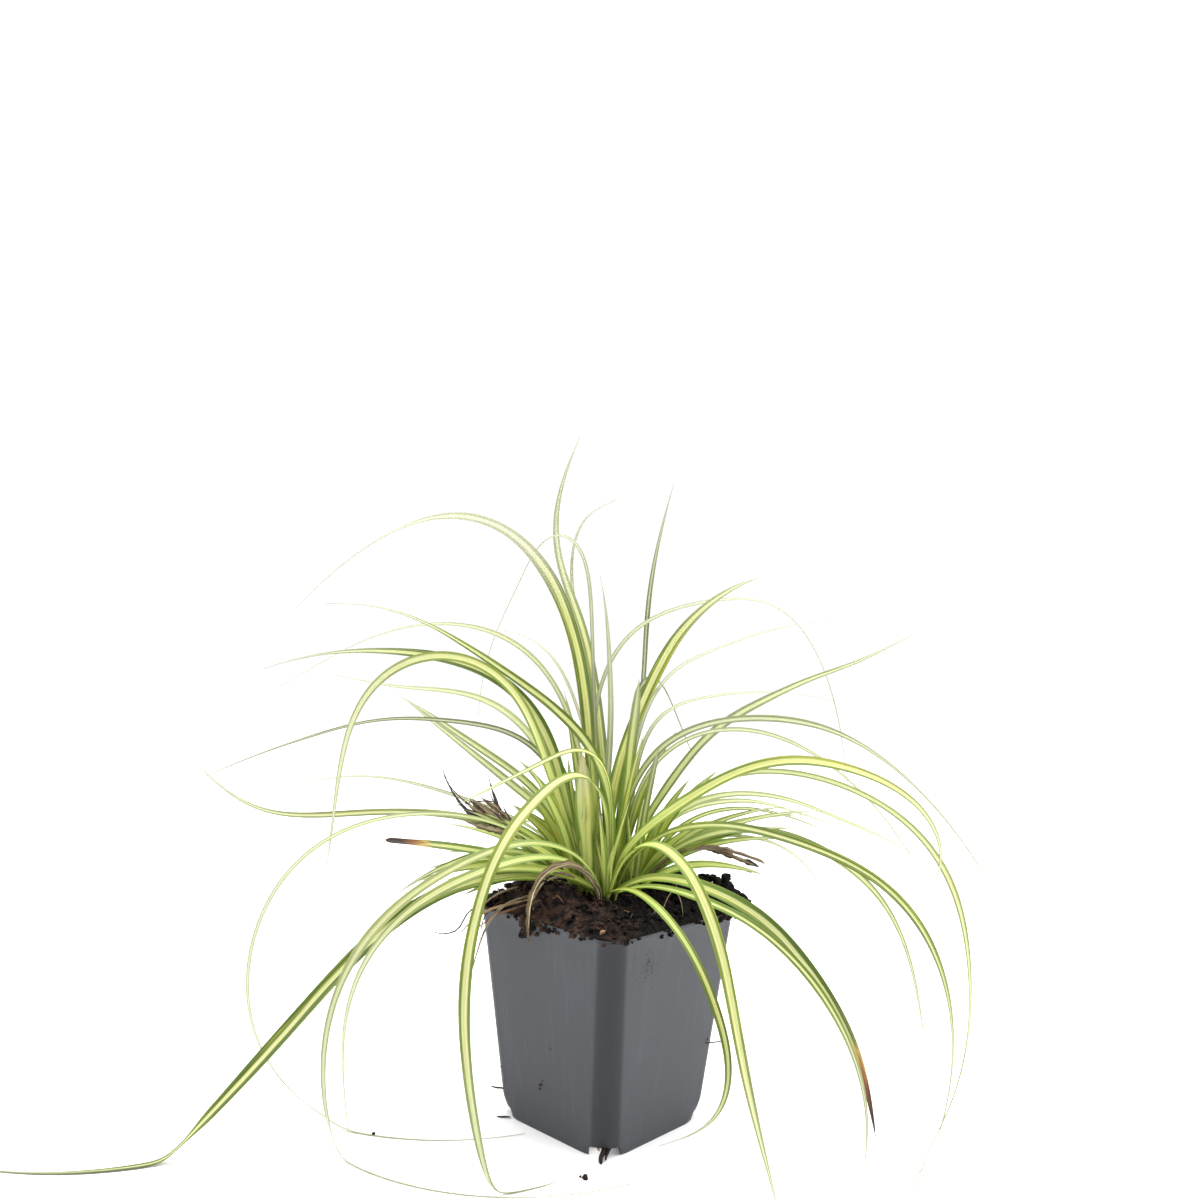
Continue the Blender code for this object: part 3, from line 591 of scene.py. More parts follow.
class Sheet:
    """Collects blade-like strips, each a closed thin body, into one mesh."""

    def __init__(self):
        self.verts, self.faces, self.sharp = [], [], []
        self.attrs = {k: [] for k in ("across", "dist", "along", "under", "fade", "look", "more", "tip")}
        self.base = 0

    def strip(self, points, dist, along, wide, up, half, fold, thick, columns, look, more, tip,
              curl=0.0, ripple=0.0, seed=0.0, fade=(0.5, 1.0, 0.0)):
        rows = len(points)
        xs = np.linspace(-1, 1, columns + 1)
        top, bot = [], []
        for i in range(rows):
            h = half[i]
            for x in xs:
                r = math.sqrt(x * x + 0.02) - 0.14
                lift = fold[i] * h * (r * 1.15 - 0.38 * x * x * x * x)
                if ripple:
                    lift += ripple * h * math.sin(dist[i] * 2.2 + seed * 9 + x * 2.0) * x
                a = x * h
                if curl:
                    ang = curl * x
                    a = h * math.sin(ang) / max(curl, 1e-6)
                    lift += h * (1 - math.cos(ang)) / max(curl, 1e-6)
                th = thick * min(1.0, 0.35 + 0.65 * (1 - x * x)) * min(1.0, 0.35 + h / 1.2)
                c = points[i] + wide[i] * a + up[i] * lift
                top.append(c + up[i] * th * 0.5)
                bot.append(c - up[i] * th * 0.5)
        w = columns + 1
        n = rows * w
        b0, b1 = self.base, self.base + n
        for i in range(rows - 1):
            for j in range(columns):
                p, q = i * w + j, (i + 1) * w + j
                self.faces.append((b0 + p, b0 + p + 1, b0 + q + 1, b0 + q))
                self.faces.append((b1 + p, b1 + q, b1 + q + 1, b1 + p + 1))
            for j in (0, columns):
                p, q = i * w + j, (i + 1) * w + j
                f = (b0 + p, b0 + q, b1 + q, b1 + p)
                self.faces.append(f if j == 0 else tuple(reversed(f)))
                self.sharp += [(b0 + p, b0 + q), (b1 + p, b1 + q)]
        for i in (0, rows - 1):
            for j in range(columns):
                p = i * w + j
                f = (b0 + p, b1 + p, b1 + p + 1, b0 + p + 1)
                self.faces.append(f if i == 0 else tuple(reversed(f)))
                self.sharp += [(b0 + p, b0 + p + 1), (b1 + p, b1 + p + 1)]
        self.verts += top + bot
        self.base += 2 * n
        for under in (0.0, 1.0):
            for i in range(rows):
                for x in xs:
                    self.attrs["across"].append(x)
                    self.attrs["dist"].append(dist[i] / 10.0)
                    self.attrs["along"].append(along[i])
                    self.attrs["under"].append(under)
                    self.attrs["fade"].append(fade[2] * ease(along[i], fade[0], fade[1]))
                    self.attrs["look"].append(look)
                    self.attrs["more"].append(more)
                    self.attrs["tip"].append(tip)

    def build(self, name, material):
        mesh = bpy.data.meshes.new(name)
        mesh.from_pydata([tuple(v * MM) for v in np.array(self.verts)], [], self.faces)
        mesh.update()
        for k, values in self.attrs.items():
            if k in ("look", "more", "tip"):
                a = mesh.attributes.new(k, "FLOAT_VECTOR", "POINT")
                a.data.foreach_set("vector", np.array(values, np.float32).ravel())
            else:
                a = mesh.attributes.new(k, "FLOAT", "POINT")
                a.data.foreach_set("value", np.array(values, np.float32))
        mesh.polygons.foreach_set("use_smooth", [True] * len(mesh.polygons))
        pairs = {tuple(sorted(s)) for s in self.sharp}
        ends = np.zeros(len(mesh.edges) * 2, np.int32)
        mesh.edges.foreach_get("vertices", ends)
        ends = ends.reshape(-1, 2)
        flags = [tuple(sorted(e)) in pairs for e in ends.tolist()]
        a = mesh.attributes.new("sharp_edge", "BOOLEAN", "EDGE")
        a.data.foreach_set("value", flags)
        mesh.materials.append(material)
        ob = bpy.data.objects.new(name, mesh)
        bpy.context.scene.collection.objects.link(ob)
        return ob


def add_blade(sheet, row, look, more, tip, sunk=8.0, curl=0.0, ripple=0.0, columns=None, jag=0.0,
              fade=(0.5, 1.0, 0.0), blunt=0.0, slim=1.0):
    """One blade of the table: fine, folded, twisted, thin, flat where it lies down."""
    name, shoot, azimuth, length, widest, roll, foot, bend = row[:8]
    line, across = grow(row)
    rooted = len(foot) < 3 and sunk > 0
    cx, cy = SHOOTS[shoot]
    pts = [np.array(p) for p in line]
    if rooted:
        f = pts[0]
        pull = np.array([cx - f[0], cy - f[1], 0.0]) * 0.25
        pts = [f + np.array([0, 0, -sunk * k]) + pull * k for k in (1.0, 0.66, 0.33)] + pts
    count = int(min(170, max(24, (length + sunk) / 2.0)))
    P, run = curve_through(pts, count)
    extra = sunk if rooted else 0.0
    side = np.array(across)
    seed = more[2]
    wide, up, half, fold = [], [], [], []
    along = np.clip((run - extra) / max(1.0, run[-1] - extra), 0, 1)
    for i in range(count):
        ahead = P[min(i + 1, count - 1)] - P[max(i - 1, 0)]
        ahead /= np.linalg.norm(ahead)
        side = side - ahead * side.dot(ahead)
        side /= np.linalg.norm(side)
        u = np.cross(side, ahead)
        ang = float(np.interp(along[i], [0.0, 0.45, 1.0], roll))
        ang += 5.0 * math.sin(run[i] * 0.045 + seed * 20) * ease(run[i], 20, 80)
        down = 1.0 - ease(P[i][2], 5.0, 20.0)
        ang = math.radians(ang * (1.0 - down))
        wv = side * math.cos(ang) + u * math.sin(ang)
        wide.append(wv)
        up.append(np.cross(ahead, wv))
        h = 0.5 * blade_width(along[i], widest, NARROWING.get(name, LATE))
        if jag:
            h *= 1.0 + jag * noise.noise(Vector((run[i] * 0.25, seed * 40, 0)))
        h *= 1.05 - (1.05 - slim) * ease(along[i], 0.35, 0.60)
        if blunt:
            h = max(h, 0.5 * widest * blunt) * min(1.0, 0.45 + (run[-1] - run[i]) / 2.6)
        else:
            h *= min(1.0, 0.25 + (run[-1] - run[i]) / 8.0)
        half.append(h * (1.0 + 0.04 * math.sin(run[i] * 0.09 + seed * 30)))
        over = 1.0 if up[-1][2] >= 0 else -1.0      # folds upward where it lies on the floor
        fold.append((0.42 + 0.45 * (1.0 - ease(along[i], 0.0, 0.25))) * (1.0 - down + 0.6 * down * over))
        P[i][2] -= (FLOOR_Z - 0.35) * (1.0 - ease(P[i][2], 1.5, 6.0))
    cols = columns or (8 if widest >= 3.4 else 6)
    sheet.strip(P, run, along, wide, up, half, fold, 0.42, cols, look, more, tip, curl, ripple, seed, fade)
    return P


def add_spur(sheet, start, azimuth, rise, length, width, turn, look, seed, curl=0.8, jag=0.6):
    """A torn strip of a dried leaf: starts anywhere, turns by `turn` degrees over its length."""
    p = np.array(start, float)
    pts = [p]
    for k in range(9):
        a, e = math.radians(azimuth + turn[0] * k / 8), math.radians(rise + turn[1] * k / 8)
        p = p + np.array([math.cos(e) * math.cos(a), math.cos(e) * math.sin(a), math.sin(e)]) * length / 9
        pts.append(p)
    P, run = curve_through(pts, max(12, int(length / 1.1)))
    n = len(P)
    a = math.radians(azimuth)
    side = np.array([-math.sin(a), math.cos(a), 0.0]) * 0.35 + np.array([0, 0, 1.0])
    wide, up, half, fold = [], [], [], []
    for i in range(n):
        ahead = P[min(i + 1, n - 1)] - P[max(i - 1, 0)]
        ahead /= np.linalg.norm(ahead)
        side = side - ahead * side.dot(ahead)
        side /= np.linalg.norm(side)
        twist = 0.5 * math.sin(run[i] * 0.16 + seed * 12)
        w = side * math.cos(twist) + np.cross(ahead, side) * math.sin(twist)
        wide.append(w)
        up.append(np.cross(ahead, w))
        t = run[i] / run[-1]
        h = 0.5 * width * (0.5 + 0.5 * min(1.0, t / 0.2)) * max(0.06, 1.0 - t ** 2.6)
        half.append(h * (1.0 + jag * noise.noise(Vector((run[i] * 0.45, seed * 40, 1.0)))))
        fold.append(0.2)
    sheet.strip(P, run, run / run[-1], wide, up, half, fold, 0.35, 6, look, (0, 0, seed), (2, 1, 0),
                curl, 0.25, seed)


# ------------------------------------------------------------------------------ blade finishes
# stripe (half width of the cream centre), dark (margin), pale (washed out), dull (grey-green),
# yellow (0 yellow .. 1), withered tip (start along the blade, length, strength)
# fade: where along the blade it starts to wash out, where it ends, how far
PLAIN = dict(stripe=0.52, dark=0.45, pale=0.0, dull=0.0, yellow=0.55, tip=(0.97, 0.06, 0.35),
             fade=(0.55, 1.0, 0.30))
FADES = {
    "leaf_tall_arch": (0.33, 0.50, 0.88), "leaf_tall_back": (0.45, 0.80, 0.80),
    "leaf_left_loop_a": (0.30, 0.60, 0.62), "leaf_left_loop_b": (0.34, 0.60, 0.66),
    "leaf_left_great_loop": (0.20, 0.50, 0.60), "leaf_right_outer_loop": (0.55, 0.95, 0.30),
    "leaf_left_hook": (0.40, 0.80, 0.68), "leaf_front_left_hanging": (0.60, 0.95, 0.35),
    "leaf_right_arch": (0.72, 0.98, 0.45), "leaf_right_far": (0.75, 1.0, 0.35),
    "leaf_back_drooping": (0.30, 0.60, 0.50), "leaf_back_great_arch": (0.30, 0.60, 0.55),
    "leaf_back_faint": (0.20, 0.70, 0.70), "leaf_thin_left_a": (0.35, 0.80, 0.60),
    "leaf_front_crossing": (0.66, 0.86, 0.70), "leaf_left_pale_a": (0.45, 0.85, 0.50),
    "leaf_left_thin_grey": (0.30, 0.70, 0.50), "leaf_left_wavy": (0.62, 0.95, 0.55),
    "leaf_left_dark_long": (0.70, 1.0, 0.45), "leaf_right_thin_low": (0.40, 0.80, 0.50),
    "leaf_right_long_dark": (0.55, 0.85, 0.55), "leaf_right_low_thin": (0.55, 0.85, 0.55),
    "leaf_back_upright": (0.60, 1.0, 0.30), "leaf_left_long": (0.78, 0.95, 0.45),
    "leaf_left_upper": (0.60, 0.95, 0.50), "leaf_front_short": (0.60, 0.85, 0.45),
    "leaf_right_low_wide": (0.5, 1.0, 0.0), "leaf_left_brown_tip": (0.5, 1.0, 0.0),
    "leaf_right_upper": (0.70, 1.0, 0.45), "leaf_back_thin_right": (0.30, 0.80, 0.50),
    "leaf_right_pale_a": (0.45, 0.90, 0.45), "leaf_right_pale_b": (0.45, 0.90, 0.40),
}
FINISH = {
    "leaf_front_crossing": dict(stripe=0.46, dark=0.80, yellow=0.60),
    "leaf_left_long": dict(stripe=0.38, dark=0.95, yellow=0.50, tip=(0.99, 0.05, 0.2)),
    "leaf_left_loop_a": dict(stripe=0.45, dark=0.25, pale=0.20, tip=(0.985, 0.012, 1.0)),
    "leaf_left_loop_b": dict(stripe=0.50, dark=0.30, pale=0.12),
    "leaf_front_left_hanging": dict(stripe=0.58, dark=0.45, yellow=0.45),
    "leaf_front_short": dict(stripe=0.45, dark=0.70, yellow=0.55),
    "leaf_front_right": dict(stripe=0.58, dark=0.50, yellow=0.55),
    "leaf_right_low_thin": dict(stripe=0.35, dark=0.70, yellow=0.40),
    "leaf_right_low_wide": dict(stripe=0.36, dark=0.95, dull=0.12, yellow=0.35, tip=(0.77, 0.22, 1.0), slim=0.90),
    "leaf_right_long_dark": dict(stripe=0.34, dark=0.80, yellow=0.45),
    "leaf_right_arch": dict(stripe=0.62, dark=0.60, yellow=0.75),
    "leaf_inner_short_left": dict(stripe=0.60, dark=0.40),
    "leaf_inner_pale": dict(stripe=0.75, dark=0.30, dull=0.15, yellow=0.35, blunt=0.62, tip=(0.84, 0.60, 0.30), slim=1.5),
    "leaf_tall_arch": dict(stripe=0.50, dark=0.85, yellow=0.80, slim=0.78),
    "leaf_tall_back": dict(stripe=0.45, dark=0.60, pale=0.10, yellow=0.70),
    "leaf_thin_left_a": dict(stripe=0.45, dark=0.30, pale=0.35),
    "leaf_left_pale_a": dict(stripe=0.50, dark=0.25, pale=0.30, yellow=0.60),
    "leaf_right_tall": dict(stripe=0.54, dark=0.75, yellow=0.60),
    "leaf_left_upper": dict(stripe=0.46, dark=0.95, yellow=0.55),
    "leaf_left_hook": dict(stripe=0.60, dark=0.30, yellow=0.60),
    "leaf_left_pale_b": dict(stripe=0.42, dark=0.55, pale=0.15, yellow=0.50),
    "leaf_left_pale_c": dict(stripe=0.42, dark=0.60, pale=0.20, yellow=0.50),
    "leaf_left_dark_long": dict(stripe=0.40, dark=0.90, dull=0.80),
    "leaf_left_wavy": dict(stripe=0.45, dark=0.70, dull=0.25, pale=0.10),
    "leaf_left_thin_grey": dict(stripe=0.40, dark=0.30, dull=0.60, pale=0.35),
    "leaf_left_great_loop": dict(stripe=0.45, dark=0.25, pale=0.30),
    "leaf_left_brown_tip": dict(stripe=0.42, dark=0.90, tip=(0.79, 0.19, 1.0), blunt=0.78),
    "leaf_left_low_short": dict(stripe=0.45, dark=0.95, yellow=0.50),
    "leaf_back_drooping": dict(stripe=0.40, dark=0.30, dull=0.50, pale=0.40),
    "leaf_back_faint": dict(stripe=0.40, dark=0.20, pale=0.45),
    "leaf_back_thin_left": dict(stripe=0.40, dark=0.20, dull=0.30, pale=0.50),
    "leaf_back_upright": dict(stripe=0.35, dark=0.70, dull=0.80, pale=0.00),
    "leaf_back_great_arch": dict(stripe=0.40, dark=0.25, dull=0.45, pale=0.40),
    "leaf_back_thin_right": dict(stripe=0.40, dark=0.20, dull=0.60, pale=0.50),
    "leaf_back_pale_right": dict(stripe=0.40, dark=0.20, dull=0.30, pale=0.50),
    "leaf_back_mint": dict(stripe=0.30, dark=0.10, dull=0.35, pale=0.45),
    "leaf_back_bent": dict(stripe=0.35, dark=0.70, dull=0.60, pale=0.15),
    "leaf_back_low_right": dict(stripe=0.50, dark=0.50),
    "leaf_back_low_middle": dict(stripe=0.50, dark=0.45),
    "leaf_back_low_left": dict(stripe=0.48, dark=0.55),
    "leaf_right_upper": dict(stripe=0.44, dark=0.60, dull=0.30, yellow=0.50, pale=0.12),
    "leaf_right_far": dict(stripe=0.42, dark=0.65, dull=0.50, yellow=0.50, pale=0.15),
    "leaf_right_dull_arch": dict(stripe=0.45, dark=0.30, dull=0.40, pale=0.25),
    "leaf_right_outer_loop": dict(stripe=0.50, dark=0.35, dull=0.20, pale=0.12, slim=1.6),
    "leaf_right_pale_a": dict(stripe=0.42, dark=0.40, dull=0.15, pale=0.22),
    "leaf_right_pale_b": dict(stripe=0.42, dark=0.40, dull=0.15, pale=0.20, tip=(0.94, 0.06, 0.7)),
    "leaf_right_pale_c": dict(stripe=0.35, dark=0.70, dull=0.25, tip=(0.90, 0.10, 1.0)),
    "leaf_right_thin_low": dict(stripe=0.40, dark=0.20, dull=0.30, pale=0.45, tip=(0.975, 0.02, 1.0)),
    "leaf_right_drooping": dict(stripe=0.46, dark=0.65, pale=0.12, tip=(0.975, 0.03, 1.0)),
    "leaf_stub_green": dict(stripe=0.45, dark=0.60, yellow=0.80),
    "leaf_stub_grey": dict(stripe=0.30, dark=0.60, dull=0.70),
}


def leaf_values(name, seed):
    f = dict(PLAIN)
    f.update(FINISH.get(name, {}))
    return ((f["stripe"], f["dark"], f["pale"]), (f["dull"], f["yellow"], seed), f["tip"],
            FADES.get(name, f["fade"]), f.get("blunt", 0.0), f.get("slim", 1.05))


def finish_piece(ob, slot, *nodes):
    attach(ob, ROOT)
    if nodes:
        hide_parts(*nodes)
    return ob


def make_leaves(green, dead):
    rng = random.Random(11)
    for row in BLADES:
        name = row[0]
        seed = rng.random()
        sheet = Sheet()
        if name.startswith("dead"):
            style = DEAD[name]
            add_blade(sheet, row, (style["straw"], style["red"], seed), (0, 0, seed), (2, 1, 0),
                      sunk=style.get("sunk", 6.0), curl=style["curl"], ripple=style["ripple"],
                      columns=8, jag=style["jag"], blunt=style.get("blunt", 0.0))
            for k, spur in enumerate(SPURS.get(name, ())):
                start, azimuth, rise, length, width, turn, straw = spur
                add_spur(sheet, start, azimuth, rise, length, width, turn,
                         (max(0.0, straw), min(0.1, straw), seed + 0.17 * k),
                         seed + 0.31 * k)
            ob = sheet.build(name + "_look", dead)
            finish_piece(ob, "blade_dead", name)
        else:
            look, more, tip, fade, blunt, slim = leaf_values(name, seed)
            add_blade(sheet, row, look, more, tip, fade=fade, blunt=blunt, slim=slim)
            ob = sheet.build(name + "_look", green)
            finish_piece(ob, "blade_variegated", name)


DEAD = {
    "dead_leaf_arch": dict(straw=0.78, red=0.10, curl=1.9, ripple=0.10, jag=0.5),
    "dead_leaf_right": dict(straw=0.30, red=0.1, curl=0.9, ripple=0.10, jag=0.3, blunt=0.60),
    "dead_leaf_stub_a": dict(straw=0.55, red=0.0, curl=2.2, ripple=0.15, jag=0.6),
    "dead_leaf_stub_b": dict(straw=0.55, red=0.0, curl=2.0, ripple=0.20, jag=0.6),
    "dead_strand_left": dict(straw=0.55, red=0.1, curl=0.6, ripple=0.05, jag=0.4),
    "dead_strand_rim": dict(straw=0.35, red=0.3, curl=0.6, ripple=0.05, jag=0.4),
}
# torn strips of the dried leaves: start, azimuth, rise, length, width, turn, straw
SPURS = {
    # straw below, dark slate spikes above
    "dead_leaf_stub_b": [
        ((-46, 1, 132), 182, 26, 27, 5.0, (10, 2), 0.85), ((-45, 0, 130), 178, 18, 28, 4.4, (-10, 6), 0.60),
        ((-47, -1, 133), 180, 34, 25, 4.6, (12, 0), 0.90), ((-46, 0, 134), 186, 42, 22, 4.0, (-14, -8), 0.55),
        ((-49, 1, 134), 174, 30, 22, 3.6, (18, 10), 0.30), ((-46, -2, 130), 186, 12, 26, 3.6, (6, 8), 0.75),
        ((-52, 2, 133), 192, 44, 17, 3.4, (10, -20), 0.60), ((-49, 0, 132), 182, 20, 22, 3.0, (-20, 14), 0.65),
        ((-45, 0, 130), 180, 10, 52, 2.6, (2, 62), -0.85), ((-48, 1, 131), 181, 22, 30, 3.4, (-4, 8), -0.70),
        ((-46, 0, 130), 180, 54, 33, 2.0, (4, 22), -0.80), ((-39, 0, 129), 182, 46, 17, 2.2, (-6, -8), -0.75),
        ((-44, -1, 129), 184, 48, 19, 2.0, (8, -10), -0.60), ((-54, 0, 145), 180, 4, 17, 1.2, (10, -16), -0.60),
        ((-60, -1, 138), 170, 64, 11, 2.4, (24, -40), -0.50), ((-58, 1, 137), 196, 30, 15, 2.4, (-20, 30), 0.30)],
    "dead_leaf_stub_a": [
        ((-40, -1, 126), 182, 50, 22, 2.4, (-10, 12), -0.55), ((-42, 0, 127), 188, 40, 19, 2.6, (10, 15), 0.50)],
    "dead_leaf_arch": [
        ((-18, -14, 114), 196, 20, 34, 2.2, (20, -150), 0.55), ((-16, -13, 113), 190, 26, 36, 1.8, (26, -140), 0.15),
        ((-20, -15, 113), 204, 12, 30, 2.0, (10, -130), 0.75)],
    "dead_leaf_right": [
        ((46, -2, 126), 355, -8, 25, 3.4, (0, -16), 0.45), ((63, -3, 122), 354, -18, 9, 3.2, (0, -6), -0.60), ((50, -2, 118), 4, 6, 20, 2.0, (-10, -30), 0.5)],
}


# ------------------------------------------------------------------------------------- the soil
def bump_at(x, y, cx, cy, rx, ry, height):
    return height * math.exp(-(((x - cx) / rx) ** 2 + ((y - cy) / ry) ** 2))


def soil_height(x, y):
    """The part's heaped peat, roughened, with the hollow filled in round the shoots."""
    z = 99.0
    z += bump_at(x, y, -25, -6, 14, 14, 13.0)
    z += bump_at(x, y, -40, 2, 11, 11, 6.5)
    z += bump_at(x, y, 33, 8, 13, 13, 14.0)
    z += bump_at(x, y, 49, -1, 8.5, 9, 11.0)
    z += bump_at(x, y, 13, 4, 11, 10, 9.0)
    z += bump_at(x, y, -6, -28, 15, 11, 3.5)
    z += bump_at(x, y, -25, -18, 11, 9, 6.5)
    z += bump_at(x, y, 0, 32, 22, 12, 8.0)
    z += noise.noise(Vector((x, y, 3.0)) * 0.11) * 1.6
    r = math.hypot(x - CROWN_C[0], y - CROWN_C[1])
    if r < 24.0:
        k = ease(r, 13.0, 24.0)
        z = (103.5 + 1.5 * noise.noise(Vector((x, y, 5.0)) * 0.3)) * (1 - k) + z * k
    v = Vector((x, y, 7.0))
    z += noise.noise(v * 0.24) * 2.2
    z += noise.noise(v * 0.60) * 1.3
    z += abs(noise.noise(v * 1.3)) * 1.0
    return z


def pot_half(z):
    return POT_BASE + (POT_TOP - POT_BASE) * z / POT_H


def on_square(u, v, half, radius):
    m = max(abs(u), abs(v))
    k = 1.0
    if m > 1e-6:
        c = min(abs(u), abs(v)) / m
        k = 1.0 - (radius / half) * (1 - 1 / math.sqrt(2)) * c ** 6 * m
    x, y = u * half * k, v * half * k
    yaw = math.radians(POT_YAW)
    return x * math.cos(yaw) - y * math.sin(yaw), x * math.sin(yaw) + y * math.cos(yaw)


def soil_top(u, v):
    """Point of the soil's surface at the square coordinates u, v."""
    x, y = on_square(u, v, pot_half(POT_H) - POT_WALL - 0.15, POT_CORNER + 1.0)
    z = soil_height(x, y)
    e = max(abs(u), abs(v))
    if e > 0.80:
        k = ease(e, 0.80, 1.0)
        low = 97.0 + 1.9 * noise.noise(Vector((x, y, 1.0)) * 0.20)
        z = z * (1 - k) + low * k
    return Vector((x, y, z))


def make_soil(mat):
    n = 150
    verts = [soil_top(-1 + 2 * i / n, -1 + 2 * j / n) for j in range(n + 1) for i in range(n + 1)]
    faces = [(j * (n + 1) + i, j * (n + 1) + i + 1, (j + 1) * (n + 1) + i + 1, (j + 1) * (n + 1) + i)
             for j in range(n) for i in range(n)]
    ring = ([(i, 0) for i in range(n)] + [(n, j) for j in range(n)]
            + [(n - i, n) for i in range(n)] + [(0, n - j) for j in range(n)])
    prev = [j * (n + 1) + i for i, j in ring]
    for z, tuck in ((80.0, 0.0), (45.0, 0.0), (14.0, 0.0), (11.0, 0.10), (9.6, 0.35), (9.3, 1.0), (1.6, 1.04)):
        now = []
        for i, j in ring:
            u, v = -1 + 2 * i / n, -1 + 2 * j / n
            x, y = on_square(u, v, pot_half(z) - POT_WALL - 0.15, POT_CORNER + 1.0)
            c = min(abs(u), abs(v))
            k = 1.0 - 0.28 * tuck * ease(c, 0.50, 0.78)      # clear of the corner notches
            now.append(len(verts))
            verts.append(Vector((x * k, y * k, z)))
        m = len(ring)
        faces += [(prev[(k + 1) % m], prev[k], now[k], now[(k + 1) % m]) for k in range(m)]
        prev = now
    faces.append(tuple(reversed(prev)))
    mesh = bpy.data.meshes.new("soil_heap")
    mesh.from_pydata([tuple(v * MM) for v in verts], [], faces)
    mesh.update()
    bm = bmesh.new()
    bm.from_mesh(mesh)
    bmesh.ops.recalc_face_normals(bm, faces=bm.faces)
    bm.to_mesh(mesh)
    bm.free()
    mesh.polygons.foreach_set("use_smooth", [True] * len(mesh.polygons))
    mesh.materials.append(mat)
    ob = bpy.data.objects.new("soil_heap", mesh)
    bpy.context.scene.collection.objects.link(ob)
    return finish_piece(ob, "peat", "soil")


def lump(rng, centre, size, tint, flat=1.0, detail=1):
    """An irregular crumb: (verts, faces, tints)."""
    bm = bmesh.new()
    bmesh.ops.create_icosphere(bm, subdivisions=detail, radius=1.0)
    rot = Matrix.Rotation(rng.uniform(0, 6.28), 3, "Z") @ Matrix.Rotation(rng.uniform(-0.9, 0.9), 3, "X")
    s = Vector((rng.uniform(0.7, 1.35), rng.uniform(0.6, 1.1), rng.uniform(0.5, 0.95) * flat))
    seed = Vector((rng.uniform(0, 90), rng.uniform(0, 90), rng.uniform(0, 90)))
    out = []
    for v in bm.verts:
        k = 1.0 + 0.45 * noise.noise(v.co * 1.7 + seed)
        q = Vector((v.co.x * s.x, v.co.y * s.y, v.co.z * s.z)) * (k * size)
        out.append(tuple((centre + rot @ q) * MM))
    faces = [tuple(v.index for v in f.verts) for f in bm.faces]
    bm.free()
    return out, faces, [tint] * len(out)


def join_lumps(name, parts, mat, slot):
    verts, faces, tints = [], [], []
    for v, f, t in parts:
        b = len(verts)
        verts += v
        faces += [tuple(i + b for i in face) for face in f]
        tints += t
    mesh = bpy.data.meshes.new(name)
    mesh.from_pydata(verts, [], faces)
    mesh.update()
    a = mesh.attributes.new("tint", "FLOAT", "POINT")
    a.data.foreach_set("value", np.array(tints, np.float32))
    mesh.polygons.foreach_set("use_smooth", [True] * len(mesh.polygons))
    mesh.materials.append(mat)
    ob = bpy.data.objects.new(name, mesh)
    bpy.context.scene.collection.objects.link(ob)
    return finish_piece(ob, slot)


def make_crumbs(mat):
    rng = random.Random(5)
    parts = []
    for k in range(1250):
        u, v = rng.uniform(-1, 1), rng.uniform(-1, 1)
        p = soil_top(u * 0.985, v * 0.985)
        big = rng.random()
        size = 0.45 + 1.5 * big ** 4
        tint = rng.random() * (1.0 if rng.random() < 0.93 else 1.9)
        if max(abs(u), abs(v)) > 0.93:
            size *= 0.75
        parts.append(lump(rng, p + Vector((0, 0, size * 0.25)), size, tint))
    for x, y, up, size, count, spread in CLODS:
        for k in range(count):
            px, py = x + rng.gauss(0, spread), y + rng.gauss(0, spread)
            z = soil_height(px, py) + size * 0.2 + abs(rng.gauss(0, up * 0.4))
            parts.append(lump(rng, Vector((px, py, z)), size * rng.uniform(0.5, 1.2), rng.random() * 0.8, detail=2))
    for x, y, z, rx, ry, rz, size, count in HEAPS:
        for k in range(count):
            q = Vector((rng.gauss(0, 1), rng.gauss(0, 1), rng.gauss(0, 1))).normalized() * rng.uniform(0.35, 1.0)
            p = Vector((x + q.x * rx, y + q.y * ry, z + q.z * rz))
            parts.append(lump(rng, p, size * rng.uniform(0.7, 1.2), rng.random() * 0.6, detail=2))
    for side, t, over, drop, size, count, spread in SPILLS:
        for k in range(count):
            d = max(-0.6, min(drop, rng.uniform(-0.6, drop) if rng.random() < 0.7 else rng.gauss(0, 1)))
            out = over * (0.5 if d < 0 else 1.0)
            q = face_point(side, t + rng.gauss(0, spread), POT_H - d, out)
            parts.append(lump(rng, q, size * rng.uniform(0.5, 1.25), rng.random() * 0.9, detail=2))
    return join_lumps("soil_crumbs", parts, mat, "peat")


def face_point(side, t, z, off):
    """A point on one of the two front faces and round its corners: t runs from the front corner to the side one."""
    yaw = math.radians(POT_YAW)
    half, r = pot_half(z), foot_radius(z)
    along = half * (1.0 - 2.0 * min(1.0, max(0.0, t)))
    x, y = (-half, -along) if side == "L" else (-along, -half)
    inner = half - r
    if abs(x) > inner and abs(y) > inner:
        cx, cy = math.copysign(inner, x), math.copysign(inner, y)
        k = (r + off) / math.hypot(x - cx, y - cy)
        x, y = cx + (x - cx) * k, cy + (y - cy) * k
    elif side == "L":
        x -= off
    else:
        y -= off
    return Vector((x * math.cos(yaw) - y * math.sin(yaw), x * math.sin(yaw) + y * math.cos(yaw), z))


# peat that has spilled over the rim: face, place along it, out, how far down, size, how many, spread
SPILLS = [
    ("L", 0.595, 0.8, 8.5, 1.35, 30, 0.026), ("L", 0.55, 0.8, 5.0, 1.4, 18, 0.045),
    ("L", 0.42, 0.6, 2.8, 1.2, 16, 0.060), ("L", 0.25, 0.5, 2.2, 1.1, 16, 0.070),
    ("L", 0.80, 0.6, 1.6, 1.2, 10, 0.080), ("R", 0.12, 0.4, 1.6, 1.0, 14, 0.060),
    ("R", 0.40, 0.6, 2.6, 1.2, 9, 0.050), ("R", 0.93, 0.5, 2.0, 1.5, 14, 0.045),
    ("R", 0.70, 0.5, 1.5, 1.1, 8, 0.080),
]


